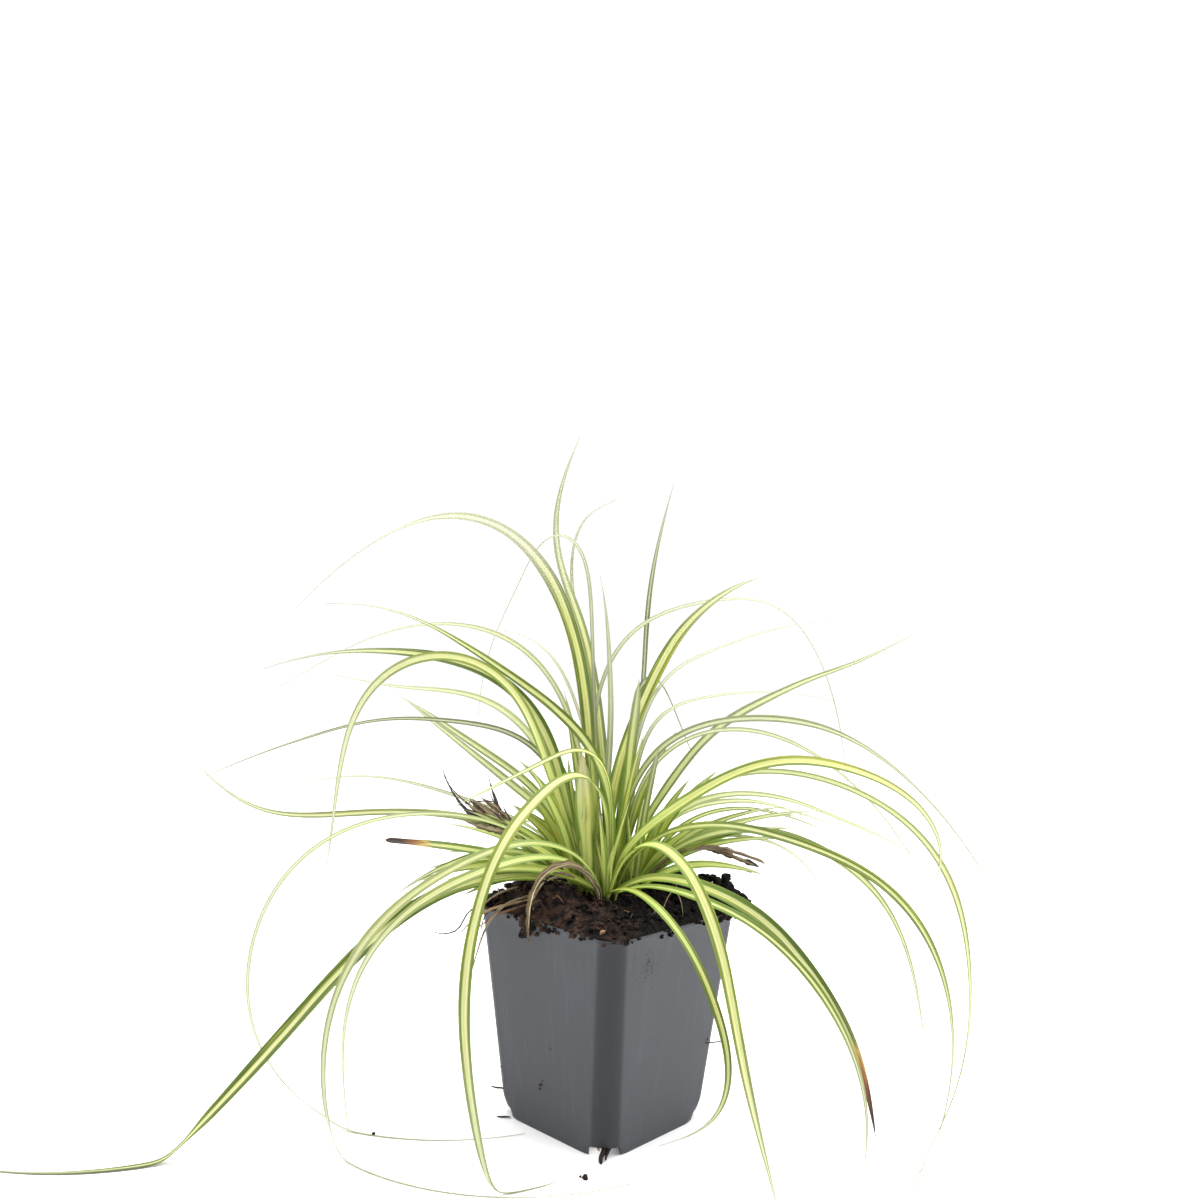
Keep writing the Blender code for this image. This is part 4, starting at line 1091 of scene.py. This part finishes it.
# peat heaped over the rim at the two side corners: centre, half sizes, lump size, how many
HEAPS = [
    (53.5, 0.5, 102.0, 8.5, 5.5, 9.0, 3.0, 80), (61.5, 1.5, 100.0, 5.0, 3.5, 6.0, 2.4, 44),
    (56.5, 1.5, 111.0, 2.4, 2.4, 3.0, 1.8, 14), (-53.0, -1.0, 99.0, 5.5, 4.5, 3.5, 2.2, 30),
]


# clods that stand out: x, y, height over the soil, size, how many, spread
CLODS = [
    (33, 6, 1.2, 2.3, 12, 3.2), (43, 3, 0.8, 2.2, 10, 2.8), (52, -1, 1.4, 2.4, 14, 2.6), (15, 2, 0.8, 2.0, 10, 3.0),
    (56, -1, 1.0, 1.8, 8, 1.6), (-26, -6, 1.0, 2.2, 12, 4.0), (-36, -8, 0.7, 2.0, 12, 4.0), (-14, -30, 0.6, 1.9, 14, 5.0),
    (0, -42, 0.6, 1.8, 12, 5.0), (16, -30, 0.6, 1.7, 12, 5.0), (30, -16, 0.6, 1.8, 12, 5.0), (-46, 0, 0.7, 1.9, 10, 3.0),
    (4, 34, 0.6, 1.8, 9, 5.0), (-28, 22, 0.6, 1.6, 8, 4.0), (26, 26, 0.6, 1.6, 8, 4.0), (-30, -20, 0.6, 2.0, 12, 4.0),
]


def tube(points, radius, sides=5):
    """A thin closed thread along points, thinner at its ends."""
    P, run = curve_through(points, max(6, len(points) * 2))
    n = len(P)
    verts, faces = [], []
    side = np.array([0.37, 0.61, 0.70])
    for i in range(n):
        a = P[min(i + 1, n - 1)] - P[max(i - 1, 0)]
        a /= np.linalg.norm(a) + 1e-9
        side = side - a * side.dot(a)
        side /= np.linalg.norm(side) + 1e-9
        other = np.cross(a, side)
        r = radius * (0.35 + 0.65 * math.sin(math.pi * (i + 0.5) / n))
        for k in range(sides):
            t = 2 * math.pi * k / sides
            verts.append(tuple((P[i] + (side * math.cos(t) * 1.4 + other * math.sin(t) * 0.8) * r) * MM))
    for i in range(n - 1):
        for k in range(sides):
            p, q = i * sides + k, i * sides + (k + 1) % sides
            faces.append((p, q, q + sides, p + sides))
    faces.append(tuple(reversed(range(sides))))
    faces.append(tuple((n - 1) * sides + k for k in range(sides)))
    return verts, faces, run[-1]


def make_fibres(mat):
    rng = random.Random(9)
    verts, faces, tints, dists = [], [], [], []

    def add(points, radius, tint):
        v, f, length = tube(points, radius)
        b = len(verts)
        verts.extend(v)
        faces.extend([tuple(i + b for i in face) for face in f])
        tints.extend([tint] * len(v))
        dists.extend([length * (i // 5) / (len(v) / 5) / 10.0 for i in range(len(v))])

    for k in range(150):
        u, v = rng.uniform(-0.93, 0.93), rng.uniform(-0.93, 0.93)
        p = soil_top(u, v)
        heading = rng.uniform(0, 6.28)
        length = rng.uniform(3, 13)
        steps = 6
        line = []
        x, y = p.x, p.y
        arch = rng.uniform(0.2, 2.2)
        for s in range(steps):
            line.append((x, y, soil_height(x, y) + 0.35 + arch * math.sin(math.pi * s / (steps - 1)) ** 2))
            heading += rng.gauss(0, 0.35)
            x += math.cos(heading) * length / steps
            y += math.sin(heading) * length / steps
        inside = all(abs(a[0] * math.cos(math.radians(POT_YAW)) + a[1] * math.sin(math.radians(POT_YAW))) < 42.5 and
                     abs(-a[0] * math.sin(math.radians(POT_YAW)) + a[1] * math.cos(math.radians(POT_YAW))) < 42.5
                     for a in line)
        if inside:
            add(line, rng.uniform(0.10, 0.30), rng.random() ** 2.0)
    for points, radius, tint in STRANDS:
        add(points, radius, tint)
    mesh = bpy.data.meshes.new("bark_fibres")
    mesh.from_pydata(verts, [], faces)
    mesh.update()
    for k, values in (("tint", tints), ("dist", dists)):
        a = mesh.attributes.new(k, "FLOAT", "POINT")
        a.data.foreach_set("value", np.array(values, np.float32))
    mesh.polygons.foreach_set("use_smooth", [True] * len(mesh.polygons))
    mesh.materials.append(mat)
    ob = bpy.data.objects.new("bark_fibres", mesh)
    bpy.context.scene.collection.objects.link(ob)
    return finish_piece(ob, "peat")


# loose roots and strands that the real plant shows: points, radius, tint
STRANDS = [
    ([(24, -22, 100), (27, -20, 107), (30, -18, 110), (33, -20, 106), (34, -24, 100)], 0.30, 0.95),
    ([(20, -24, 100), (22, -26, 105), (21, -29, 103), (19, -31, 99)], 0.28, 0.85),
    ([(-56, -4, 98), (-61, -7, 97.5), (-66, -9, 94), (-70, -11, 87), (-77, -12, 85), (-83, -10, 86)], 0.30, 0.30),
    ([(-34, -16, 104), (-44, -15, 101), (-54, -14, 98), (-62, -14, 93), (-68, -15, 87)], 0.55, 0.90),
    ([(-30, -18, 104), (-42, -19, 100), (-52, -20, 96.5), (-60, -19, 90)], 0.42, 0.75),
    ([(-46, -10, 103), (-53, -12, 99), (-58, -13, 93), (-59, -15, 84)], 0.26, 0.45),
    # a root that hangs out of the front notch, and its pale end
    ([(2.5, -36, 3.6), (1.5, -41, 3.6), (0.4, -45, 2.4), (-0.6, -48, 1.5), (-0.2, -51, 1.3)], 1.55, 0.02),
    ([(4.5, -38, 3.4), (3.4, -42, 3.4), (2.0, -45.5, 2.0), (1.6, -47.8, 1.2)], 1.15, 0.10),
    ([(-2.5, -38, 3.3), (-1.8, -42, 3.6), (-1.2, -44.6, 3.3)], 0.70, 0.98),
    # hairs at the pot's side corners and one on the floor by its foot
    ([(47.8, -6.6, 36.6), (50.2, -4.9, 36.3), (53.0, -3.6, 36.2), (56.8, -2.6, 36.6)], 0.26, 0.20),
    ([(-45.6, -5.0, 11.3), (-47.4, -3.4, 11.6), (-49.6, -2.8, 11.4), (-52.6, -2.6, 11.9)], 0.32, 0.10),
    ([(-42.4, -9.8, 0.9), (-44.2, -9.0, 0.8), (-46.6, -8.7, 0.5), (-49.0, -8.3, 0.5)], 0.34, 0.10),
]


# specks of peat stuck to the pot and dropped by it: face, along, height, size
SPECKS = [
    ("L", 0.545, 22.5, 0.95), ("L", 0.555, 20.5, 0.6), ("L", 0.53, 24.5, 0.4), ("L", 0.93, 22, 0.5),
    ("R", 0.35, 94.5, 0.8), ("R", 0.88, 38, 0.35), ("R", 0.86, 37, 0.30), ("L", 0.45, 41, 0.3),
]
SMEAR = ("R", 0.270, 83.0, 0.022, 3.6, 0.25, 80)      # fine peat rubbed on the right face
DROPPED = [(-7.0, -63.0, 1.3), (-9.0, -61.5, 0.6), (-102.0, -30.0, 1.0), (-55.0, -30.0, 0.6), (-58.0, -22.0, 0.7)]


def make_specks(mat):
    rng = random.Random(31)
    parts = []
    for side, t, z, size in SPECKS:
        parts.append(lump(rng, face_point(side, t, z, size * 0.25), size, rng.random() * 0.5, detail=2))
    side, t, z, wide, tall, size, count = SMEAR
    for k in range(count):
        q = face_point(side, t + rng.gauss(0, wide), z + rng.gauss(0, tall), 0.03)
        parts.append(lump(rng, q, size * rng.uniform(0.4, 1.2), 1.0 + rng.random() * 0.75))
    for x, y, size in DROPPED:
        parts.append(lump(rng, Vector((x, y, size * 0.75)), size, rng.random() * 0.5, detail=2))
    return join_lumps("peat_specks", parts, mat, "peat")


# ------------------------------------------------------------------------------------ the crown
def make_crown(mat):
    """Sheathed feet of the shoots: short blade bases packed round each shoot."""
    rng = random.Random(21)
    sheet = Sheet()
    spots = [("F", 9), ("L", 8), ("M", 8), ("M2", 6), ("M3", 7), ("B", 6), ("B2", 5), ("B3", 4), ("R", 8), ("R2", 6)]
    for shoot, count in spots:
        for k in range(count):
            az = 360.0 * k / count + rng.uniform(-18, 18)
            length = rng.uniform(14, 34) if k % 3 else rng.uniform(34, 52)
            lean = rng.uniform(4, 16)
            wide = rng.uniform(3.0, 4.6)
            row = ("base", shoot, az, length, wide, (0, 0, 0), (rng.uniform(0.6, 2.2), 0.0),
                   (lean * 0.4, lean, lean * 1.2, lean * 1.5))
            seed = rng.random()
            look = (rng.uniform(0.5, 0.9), rng.uniform(0.1, 0.4), 0.0)
            add_blade(sheet, row, look, (0.05, rng.uniform(0.5, 0.9), seed), (0.93, 0.1, 0.8),
                      sunk=9.0, curl=0.75, columns=6)
    ob = sheet.build("shoot_bases", mat)
    finish_piece(ob, "crown_straw", "crown")
    # short young blades that crowd the plant's heart
    sheet = Sheet()
    for row, look, more in YOUNG:
        seed = rng.random()
        add_blade(sheet, ("young",) + row, look, (more[0], more[1], seed), (0.95, 0.08, 0.5), sunk=8.0, columns=8,
                  fade=(0.6, 1.0, more[2]))
    ob = sheet.build("young_blades", mat)
    return finish_piece(ob, "blade_variegated")


# shoot, azimuth, length, width, roll, foot, bend; then stripe, dark, pale; then dull, yellow, fade
YOUNG = [
    (("L", 186, 74, 4.4, (30, 45, 30), (6, -3), (52, 80, 98, 106)), (0.40, 0.62, 0.00), (0.06, 0.75, 0.10)),
    (("L", 196, 66, 4.2, (30, 45, 30), (6, 3), (56, 84, 100, 108)), (0.44, 0.56, 0.00), (0.03, 0.75, 0.10)),
    (("L", 204, 60, 4.0, (30, 45, 30), (6, 5), (52, 86, 104, 114)), (0.38, 0.62, 0.00), (0.09, 0.65, 0.10)),
    (("L", 176, 70, 4.0, (30, 40, 20), (6, -5), (52, 76, 92, 98)), (0.48, 0.50, 0.00), (0.06, 0.75, 0.20)),
    (("L", 190, 52, 4.8, (30, 45, 30), (4, 0), (40, 66, 84, 94)), (0.52, 0.43, 0.00), (0.00, 0.95, 0.00)),
    (("L", 168, 78, 3.6, (30, 40, 20), (6, -6), (48, 68, 80, 86)), (0.50, 0.43, 0.00), (0.06, 0.75, 0.30)),
    (("L", 182, 60, 4.4, (40, 50, 40), (3, 2), (26, 48, 66, 76)), (0.46, 0.50, 0.00), (0.00, 0.85, 0.10)),
    (("L", 150, 62, 5.2, (75, 80, 80), (2, 1), (4, 6, 8, 10)), (0.32, 0.56, 0.00), (0.00, 0.95, 0.00)),
    (("L", 120, 50, 5.0, (70, 70, 70), (2, -3), (0, 4, 6, 6)), (0.40, 0.56, 0.00), (0.00, 0.95, 0.00)),
    (("M", 160, 84, 4.8, (75, 80, 80), (3, 3), (4, 8, 12, 16)), (0.40, 0.50, 0.00), (0.00, 0.95, 0.00)),
    (("M", 175, 66, 5.2, (80, 80, 80), (3, -1), (8, 14, 20, 26)), (0.44, 0.50, 0.00), (0.00, 0.85, 0.00)),
    (("M3", 200, 72, 5.0, (80, 80, 80), (4, 0), (2, 4, 6, 10)), (0.60, 0.31, 0.00), (0.00, 1.00, 0.00)),
    (("M3", 320, 78, 4.8, (-70, -75, -75), (5, 1), (6, 10, 14, 20)), (0.52, 0.37, 0.00), (0.00, 1.00, 0.00)),
    (("R", 10, 72, 4.6, (-60, -60, -50), (4, 1), (16, 30, 44, 56)), (0.50, 0.43, 0.00), (0.00, 0.95, 0.10)),
    (("R", 350, 78, 4.2, (-50, -50, -40), (6, -2), (34, 58, 76, 88)), (0.46, 0.50, 0.00), (0.06, 0.75, 0.20)),
    (("R", 2, 84, 4.0, (-40, -40, -30), (6, 3), (42, 68, 84, 94)), (0.44, 0.43, 0.05), (0.15, 0.65, 0.30)),
    (("R", 15, 92, 3.8, (-40, -40, -30), (5, 5), (38, 60, 76, 88)), (0.46, 0.37, 0.05), (0.18, 0.65, 0.30)),
    (("R", 340, 66, 4.2, (-40, -45, -40), (7, -4), (44, 72, 92, 104)), (0.50, 0.43, 0.00), (0.03, 0.75, 0.10)),
    (("R2", 8, 96, 3.6, (-40, -40, -30), (4, 1), (40, 62, 80, 92)), (0.40, 0.43, 0.10), (0.24, 0.65, 0.30)),
    (("B", 60, 88, 4.0, (-50, -50, -40), (2, -2), (4, 10, 16, 22)), (0.44, 0.50, 0.00), (0.12, 0.75, 0.10)),
    (("M2", 130, 96, 4.2, (60, 60, 50), (2, 2), (8, 16, 22, 28)), (0.46, 0.50, 0.00), (0.12, 0.75, 0.10)),
    # the left flank, upright then leaning out
    (("L", 180, 58, 5.0, (60, 60, 60), (3, 1), (14, 26, 38, 48)), (0.56, 0.37, 0.00), (0.00, 0.95, 0.00)),
    (("L", 172, 52, 4.8, (60, 60, 60), (3, -3), (22, 38, 52, 62)), (0.60, 0.31, 0.00), (0.00, 1.00, 0.00)),
    (("L", 192, 66, 5.0, (60, 65, 60), (3, 4), (10, 20, 30, 42)), (0.52, 0.37, 0.00), (0.00, 0.95, 0.10)),
    (("L", 200, 42, 4.6, (50, 55, 50), (4, 5), (30, 48, 62, 72)), (0.58, 0.37, 0.00), (0.00, 0.95, 0.00)),
    (("M", 186, 72, 5.0, (70, 70, 70), (4, 2), (14, 26, 38, 50)), (0.56, 0.37, 0.00), (0.00, 1.00, 0.10)),
    (("M", 176, 52, 4.8, (70, 70, 60), (5, -2), (24, 40, 54, 66)), (0.54, 0.31, 0.00), (0.00, 0.95, 0.10)),
    (("L", 185, 64, 4.4, (50, 55, 40), (5, 0), (34, 52, 64, 74)), (0.56, 0.31, 0.05), (0.06, 0.85, 0.20)),
    # low on the left, over the rim
    (("F", 194, 76, 4.4, (30, 45, 30), (5, 1), (54, 80, 96, 106)), (0.50, 0.56, 0.00), (0.00, 0.95, 0.10)),
    (("L", 199, 80, 4.6, (30, 45, 30), (6, 4), (52, 80, 98, 112)), (0.56, 0.43, 0.00), (0.00, 1.00, 0.10)),
    (("L", 178, 64, 4.2, (30, 45, 30), (7, -2), (58, 84, 96, 102)), (0.46, 0.56, 0.00), (0.06, 0.75, 0.10)),
    (("L", 164, 70, 4.2, (30, 40, 20), (6, -5), (46, 64, 76, 84)), (0.54, 0.37, 0.10), (0.06, 0.85, 0.30)),
    # the right flank
    (("R", 5, 60, 4.8, (-60, -60, -60), (3, 0), (12, 22, 32, 42)), (0.54, 0.31, 0.00), (0.00, 1.00, 0.00)),
    (("R", 354, 48, 4.6, (-60, -60, -50), (4, -1), (24, 40, 52, 64)), (0.56, 0.31, 0.00), (0.00, 1.00, 0.10)),
    (("M3", 12, 82, 4.8, (-70, -70, -60), (6, 1), (8, 16, 26, 38)), (0.52, 0.31, 0.00), (0.00, 1.00, 0.10)),
    (("R", 8, 90, 3.8, (-40, -40, -30), (6, 4), (44, 66, 82, 94)), (0.52, 0.25, 0.15), (0.06, 0.75, 0.40)),
    (("R2", 358, 98, 3.8, (-40, -40, -30), (5, -1), (40, 60, 76, 88)), (0.52, 0.25, 0.18), (0.06, 0.75, 0.40)),
    (("L", 203, 66, 4.4, (30, 45, 30), (7, 6), (58, 86, 102, 110)), (0.50, 0.50, 0.00), (0.00, 0.85, 0.10)),
]


# -------------------------------------------------------------------------------------- the pot
def square_loop(half, radius, z, per_corner=15, flat=5):
    """Rounded square with points along its straight sides as well."""
    yaw = math.radians(POT_YAW)
    out = []
    for q in range(4):
        mid = math.radians(45 + 90 * q)
        cx = (half - radius) * math.sqrt(2) * math.cos(mid)
        cy = (half - radius) * math.sqrt(2) * math.sin(mid)
        arc = []
        for j in range(per_corner):
            a = mid + math.radians(-45 + 90 * j / (per_corner - 1))
            arc.append((cx + radius * math.cos(a), cy + radius * math.sin(a)))
        out += arc
        nm = math.radians(45 + 90 * (q + 1))
        nx = (half - radius) * math.sqrt(2) * math.cos(nm) + radius * math.cos(nm - math.radians(45))
        ny = (half - radius) * math.sqrt(2) * math.sin(nm) + radius * math.sin(nm - math.radians(45))
        for j in range(1, flat):
            k = j / flat
            out.append((arc[-1][0] * (1 - k) + nx * k, arc[-1][1] * (1 - k) + ny * k))
    return [Vector((x * math.cos(yaw) - y * math.sin(yaw), x * math.sin(yaw) + y * math.cos(yaw), z)) * MM
            for x, y in out]


def foot_radius(z):
    """The corners round off more towards the foot."""
    return POT_CORNER + (FOOT_CORNER - POT_CORNER) * (1.0 - ease(z, -2.0, FOOT_H + 1.0))


def make_pot(mat):
    rings = []
    lip = POT_H - RIM_H
    for z in (0.0, 0.5, 2.0, 4.0, 6.0, 8.0, 10.0, 20.0, 35.0, 50.0, 65.0, 78.0, 88.0, lip - 0.3):
        inset = 0.35 * (1 - min(1.0, z / 0.5))
        rings.append(square_loop(pot_half(z) - inset, foot_radius(z) - inset * 0.5, z))
    for z, o in ((lip + 0.05, 0.16), (lip + 0.25, 0.34), (lip + 0.5, RIM_LIP), (POT_H - 0.4, RIM_LIP),
                 (POT_H - 0.12, RIM_LIP - 0.12), (POT_H, RIM_LIP - 0.35), (POT_H, -POT_WALL + 0.35),
                 (POT_H - 0.15, -POT_WALL + 0.1), (POT_H - 0.5, -POT_WALL)):
        rings.append(square_loop(pot_half(z) + o, POT_CORNER + o, z))
    for z in (85.0, 60.0, 30.0, 10.0, 7.0, 4.0, 2.0, 1.2):
        inset = POT_WALL + 0.5 * (1 - min(1.0, (z - 1.2) / 0.8))
        rings.append(square_loop(pot_half(z) - inset, foot_radius(z) - inset, z))
    bm = bmesh.new()
    loops = [[bm.verts.new(p) for p in ring] for ring in rings]
    n = len(loops[0])
    for a, b in zip(loops, loops[1:]):
        for i in range(n):
            bm.faces.new((a[i], a[(i + 1) % n], b[(i + 1) % n], b[i]))
    bm.faces.new(list(reversed(loops[0])))
    bm.faces.new(loops[-1])
    bmesh.ops.recalc_face_normals(bm, faces=bm.faces)
    mesh = bpy.data.meshes.new("pot_body")
    bm.to_mesh(mesh)
    bm.free()
    pot = bpy.data.objects.new("pot_body", mesh)
    bpy.context.scene.collection.objects.link(pot)
    cutters = []
    for q in range(4):
        ang = math.radians(POT_YAW + 45 + 90 * q)
        reach = pot_half(0.0) * math.sqrt(2) - FOOT_CORNER * (math.sqrt(2) - 1)
        box = rounded_notch(ang, reach)
        cutters.append(box)
    for q in range(4):
        ang = math.radians(POT_YAW + 90 * q)
        bm = bmesh.new()
        bmesh.ops.create_cone(bm, cap_ends=True, segments=40, radius1=DRAIN_D / 2 * MM,
                              radius2=DRAIN_D / 2 * MM, depth=6 * MM)
        m = bpy.data.meshes.new("drain")
        bm.to_mesh(m)
        bm.free()
        hole = bpy.data.objects.new("drain", m)
        hole.location = Vector((math.cos(ang) * DRAIN_R, math.sin(ang) * DRAIN_R, 0.0)) * MM
        bpy.context.scene.collection.objects.link(hole)
        cutters.append(hole)
    for c in cutters:
        mod = pot.modifiers.new("cut", "BOOLEAN")
        mod.operation, mod.solver, mod.object = "DIFFERENCE", "EXACT", c
    bpy.context.view_layer.update()
    done = bpy.data.meshes.new_from_object(pot.evaluated_get(bpy.context.evaluated_depsgraph_get()))
    pot.modifiers.clear()
    pot.data = done
    for c in cutters:
        bpy.data.objects.remove(c)
    done.materials.clear()
    done.materials.append(mat)
    done.polygons.foreach_set("use_smooth", [True] * len(done.polygons))
    done.polygons.foreach_set("material_index", [0] * len(done.polygons))
    done.set_sharp_from_angle(angle=math.radians(38))
    return finish_piece(pot, "pot_plastic", "pot")


def rounded_notch(ang, reach):
    """Cutter for a corner notch: a low arch-topped slot right through the corner."""
    bm = bmesh.new()
    w, h, r = NOTCH_W / 2, NOTCH_H, 0.9
    prof = [(-w, -2.0), (w, -2.0), (w, h - r)]
    prof += [(w - r + r * math.cos(a), h - r + r * math.sin(a)) for a in (0.4, 0.8, 1.2, math.pi / 2)]
    prof += [(-w + r + r * math.cos(a), h - r + r * math.sin(a)) for a in (math.pi / 2, 1.95, 2.35, 2.75)]
    prof += [(-w, h - r)]
    near, far = reach - NOTCH_IN, reach + 9.0
    a = [bm.verts.new(Vector((near, y, z)) * MM) for y, z in prof]
    b = [bm.verts.new(Vector((far, y, z)) * MM) for y, z in prof]
    n = len(prof)
    for i in range(n):
        bm.faces.new((a[i], a[(i + 1) % n], b[(i + 1) % n], b[i]))
    bm.faces.new(list(reversed(a)))
    bm.faces.new(b)
    bmesh.ops.recalc_face_normals(bm, faces=bm.faces)
    m = bpy.data.meshes.new("notch")
    bm.to_mesh(m)
    bm.free()
    m.transform(Matrix.Rotation(ang, 4, "Z"))
    ob = bpy.data.objects.new("notch", m)
    bpy.context.scene.collection.objects.link(ob)
    return ob


# ---------------------------------------------------------------- camera, floor, light and world
def make_camera():
    cam = bpy.data.cameras.new("camera")
    cam.sensor_width, cam.lens = 36.0, 32.30
    cam.clip_start, cam.clip_end = 0.02, 60.0
    ob = bpy.data.objects.new("camera", cam)
    bpy.context.scene.collection.objects.link(ob)
    ob.matrix_world = (Matrix.Translation((-0.008408, -0.51893, 0.22623))
                       @ Matrix.Rotation(math.radians(90.0) + 0.0332, 4, "X")
                       @ Matrix.Rotation(ROLL, 4, "Z"))
    bpy.context.scene.camera = ob


ROLL = 0.0316


def softbox(name, place, aim, size, power, tone=(1, 1, 1)):
    lamp = bpy.data.lights.new(name, "AREA")
    lamp.shape, lamp.size, lamp.size_y = "RECTANGLE", size[0], size[1]
    lamp.energy, lamp.color = power, tone
    ob = bpy.data.objects.new(name, lamp)
    bpy.context.scene.collection.objects.link(ob)
    ob.location = place
    ob.rotation_euler = (Vector(aim) - Vector(place)).to_track_quat("-Z", "Y").to_euler()
    ob.visible_camera = False


def make_stage():
    bm = bmesh.new()
    bmesh.ops.create_grid(bm, x_segments=1, y_segments=1, size=14.0)
    mesh = bpy.data.meshes.new("floor")
    bm.to_mesh(mesh)
    bm.free()
    mat = bpy.data.materials.new("floor_white")
    t = Tree(mat)
    n = t.noise(t.place(), 3.0, 2.0)
    t.surface(t.mix(n, srgb("#f4f4f4"), srgb("#f9f9f9")), 0.9, specular=0.1)
    mesh.materials.append(mat)
    floor = bpy.data.objects.new("floor", mesh)
    bpy.context.scene.collection.objects.link(floor)

    world = bpy.data.worlds.new("studio")
    bpy.context.scene.world = world
    t = Tree(world)
    d = t.parts(t.node("ShaderNodeTexCoord").outputs["Generated"])
    front = t.ease(t.math("MULTIPLY", d[1], -1.0), 0.45, 0.90)
    level = t.math("MULTIPLY_ADD", front, -1.05, 1.22)
    path = t.node("ShaderNodeLightPath")
    seen = path.outputs["Is Camera Ray"]
    bg = t.node("ShaderNodeBackground")
    bg.inputs["Color"].default_value = (1.0, 1.0, 1.0, 1.0)
    lit = t.math("ADD", t.math("MULTIPLY", level, t.math("SUBTRACT", 1.0, seen)),
                 t.math("MULTIPLY", seen, 1.05))
    t.put(bg.inputs["Strength"], lit)
    out = t.node("ShaderNodeOutputWorld")
    t.put(out.inputs["Surface"], bg.outputs[0])

    softbox("soft_left", (-1.3, -0.35, 0.75), (0, 0, 0.12), (1.2, 1.2), 16.5)
    softbox("soft_right", (1.3, -0.25, 0.80), (0, 0, 0.12), (1.2, 1.2), 25.0)
    softbox("soft_top", (0.0, 0.25, 1.5), (0, 0, 0.1), (1.6, 1.6), 30.0)
    softbox("notch_light", (0.0, -0.0395, 0.0041), (0.0, -0.0395, 0.0), (0.011, 0.007), 0.0006)
    scene = bpy.context.scene
    scene.view_settings.view_transform = "Standard"
    scene.view_settings.look = "None"


def main():
    green, dead = leaf_material(), dead_material()
    make_pot(pot_material())
    make_soil(peat_material("peat_heap", False))
    make_crumbs(peat_material("peat_crumbs", True))
    make_fibres(fibre_material())
    make_specks(peat_material("peat_specks", True))
    make_crown(green)
    make_leaves(green, dead)
    make_camera()
    make_stage()


main()
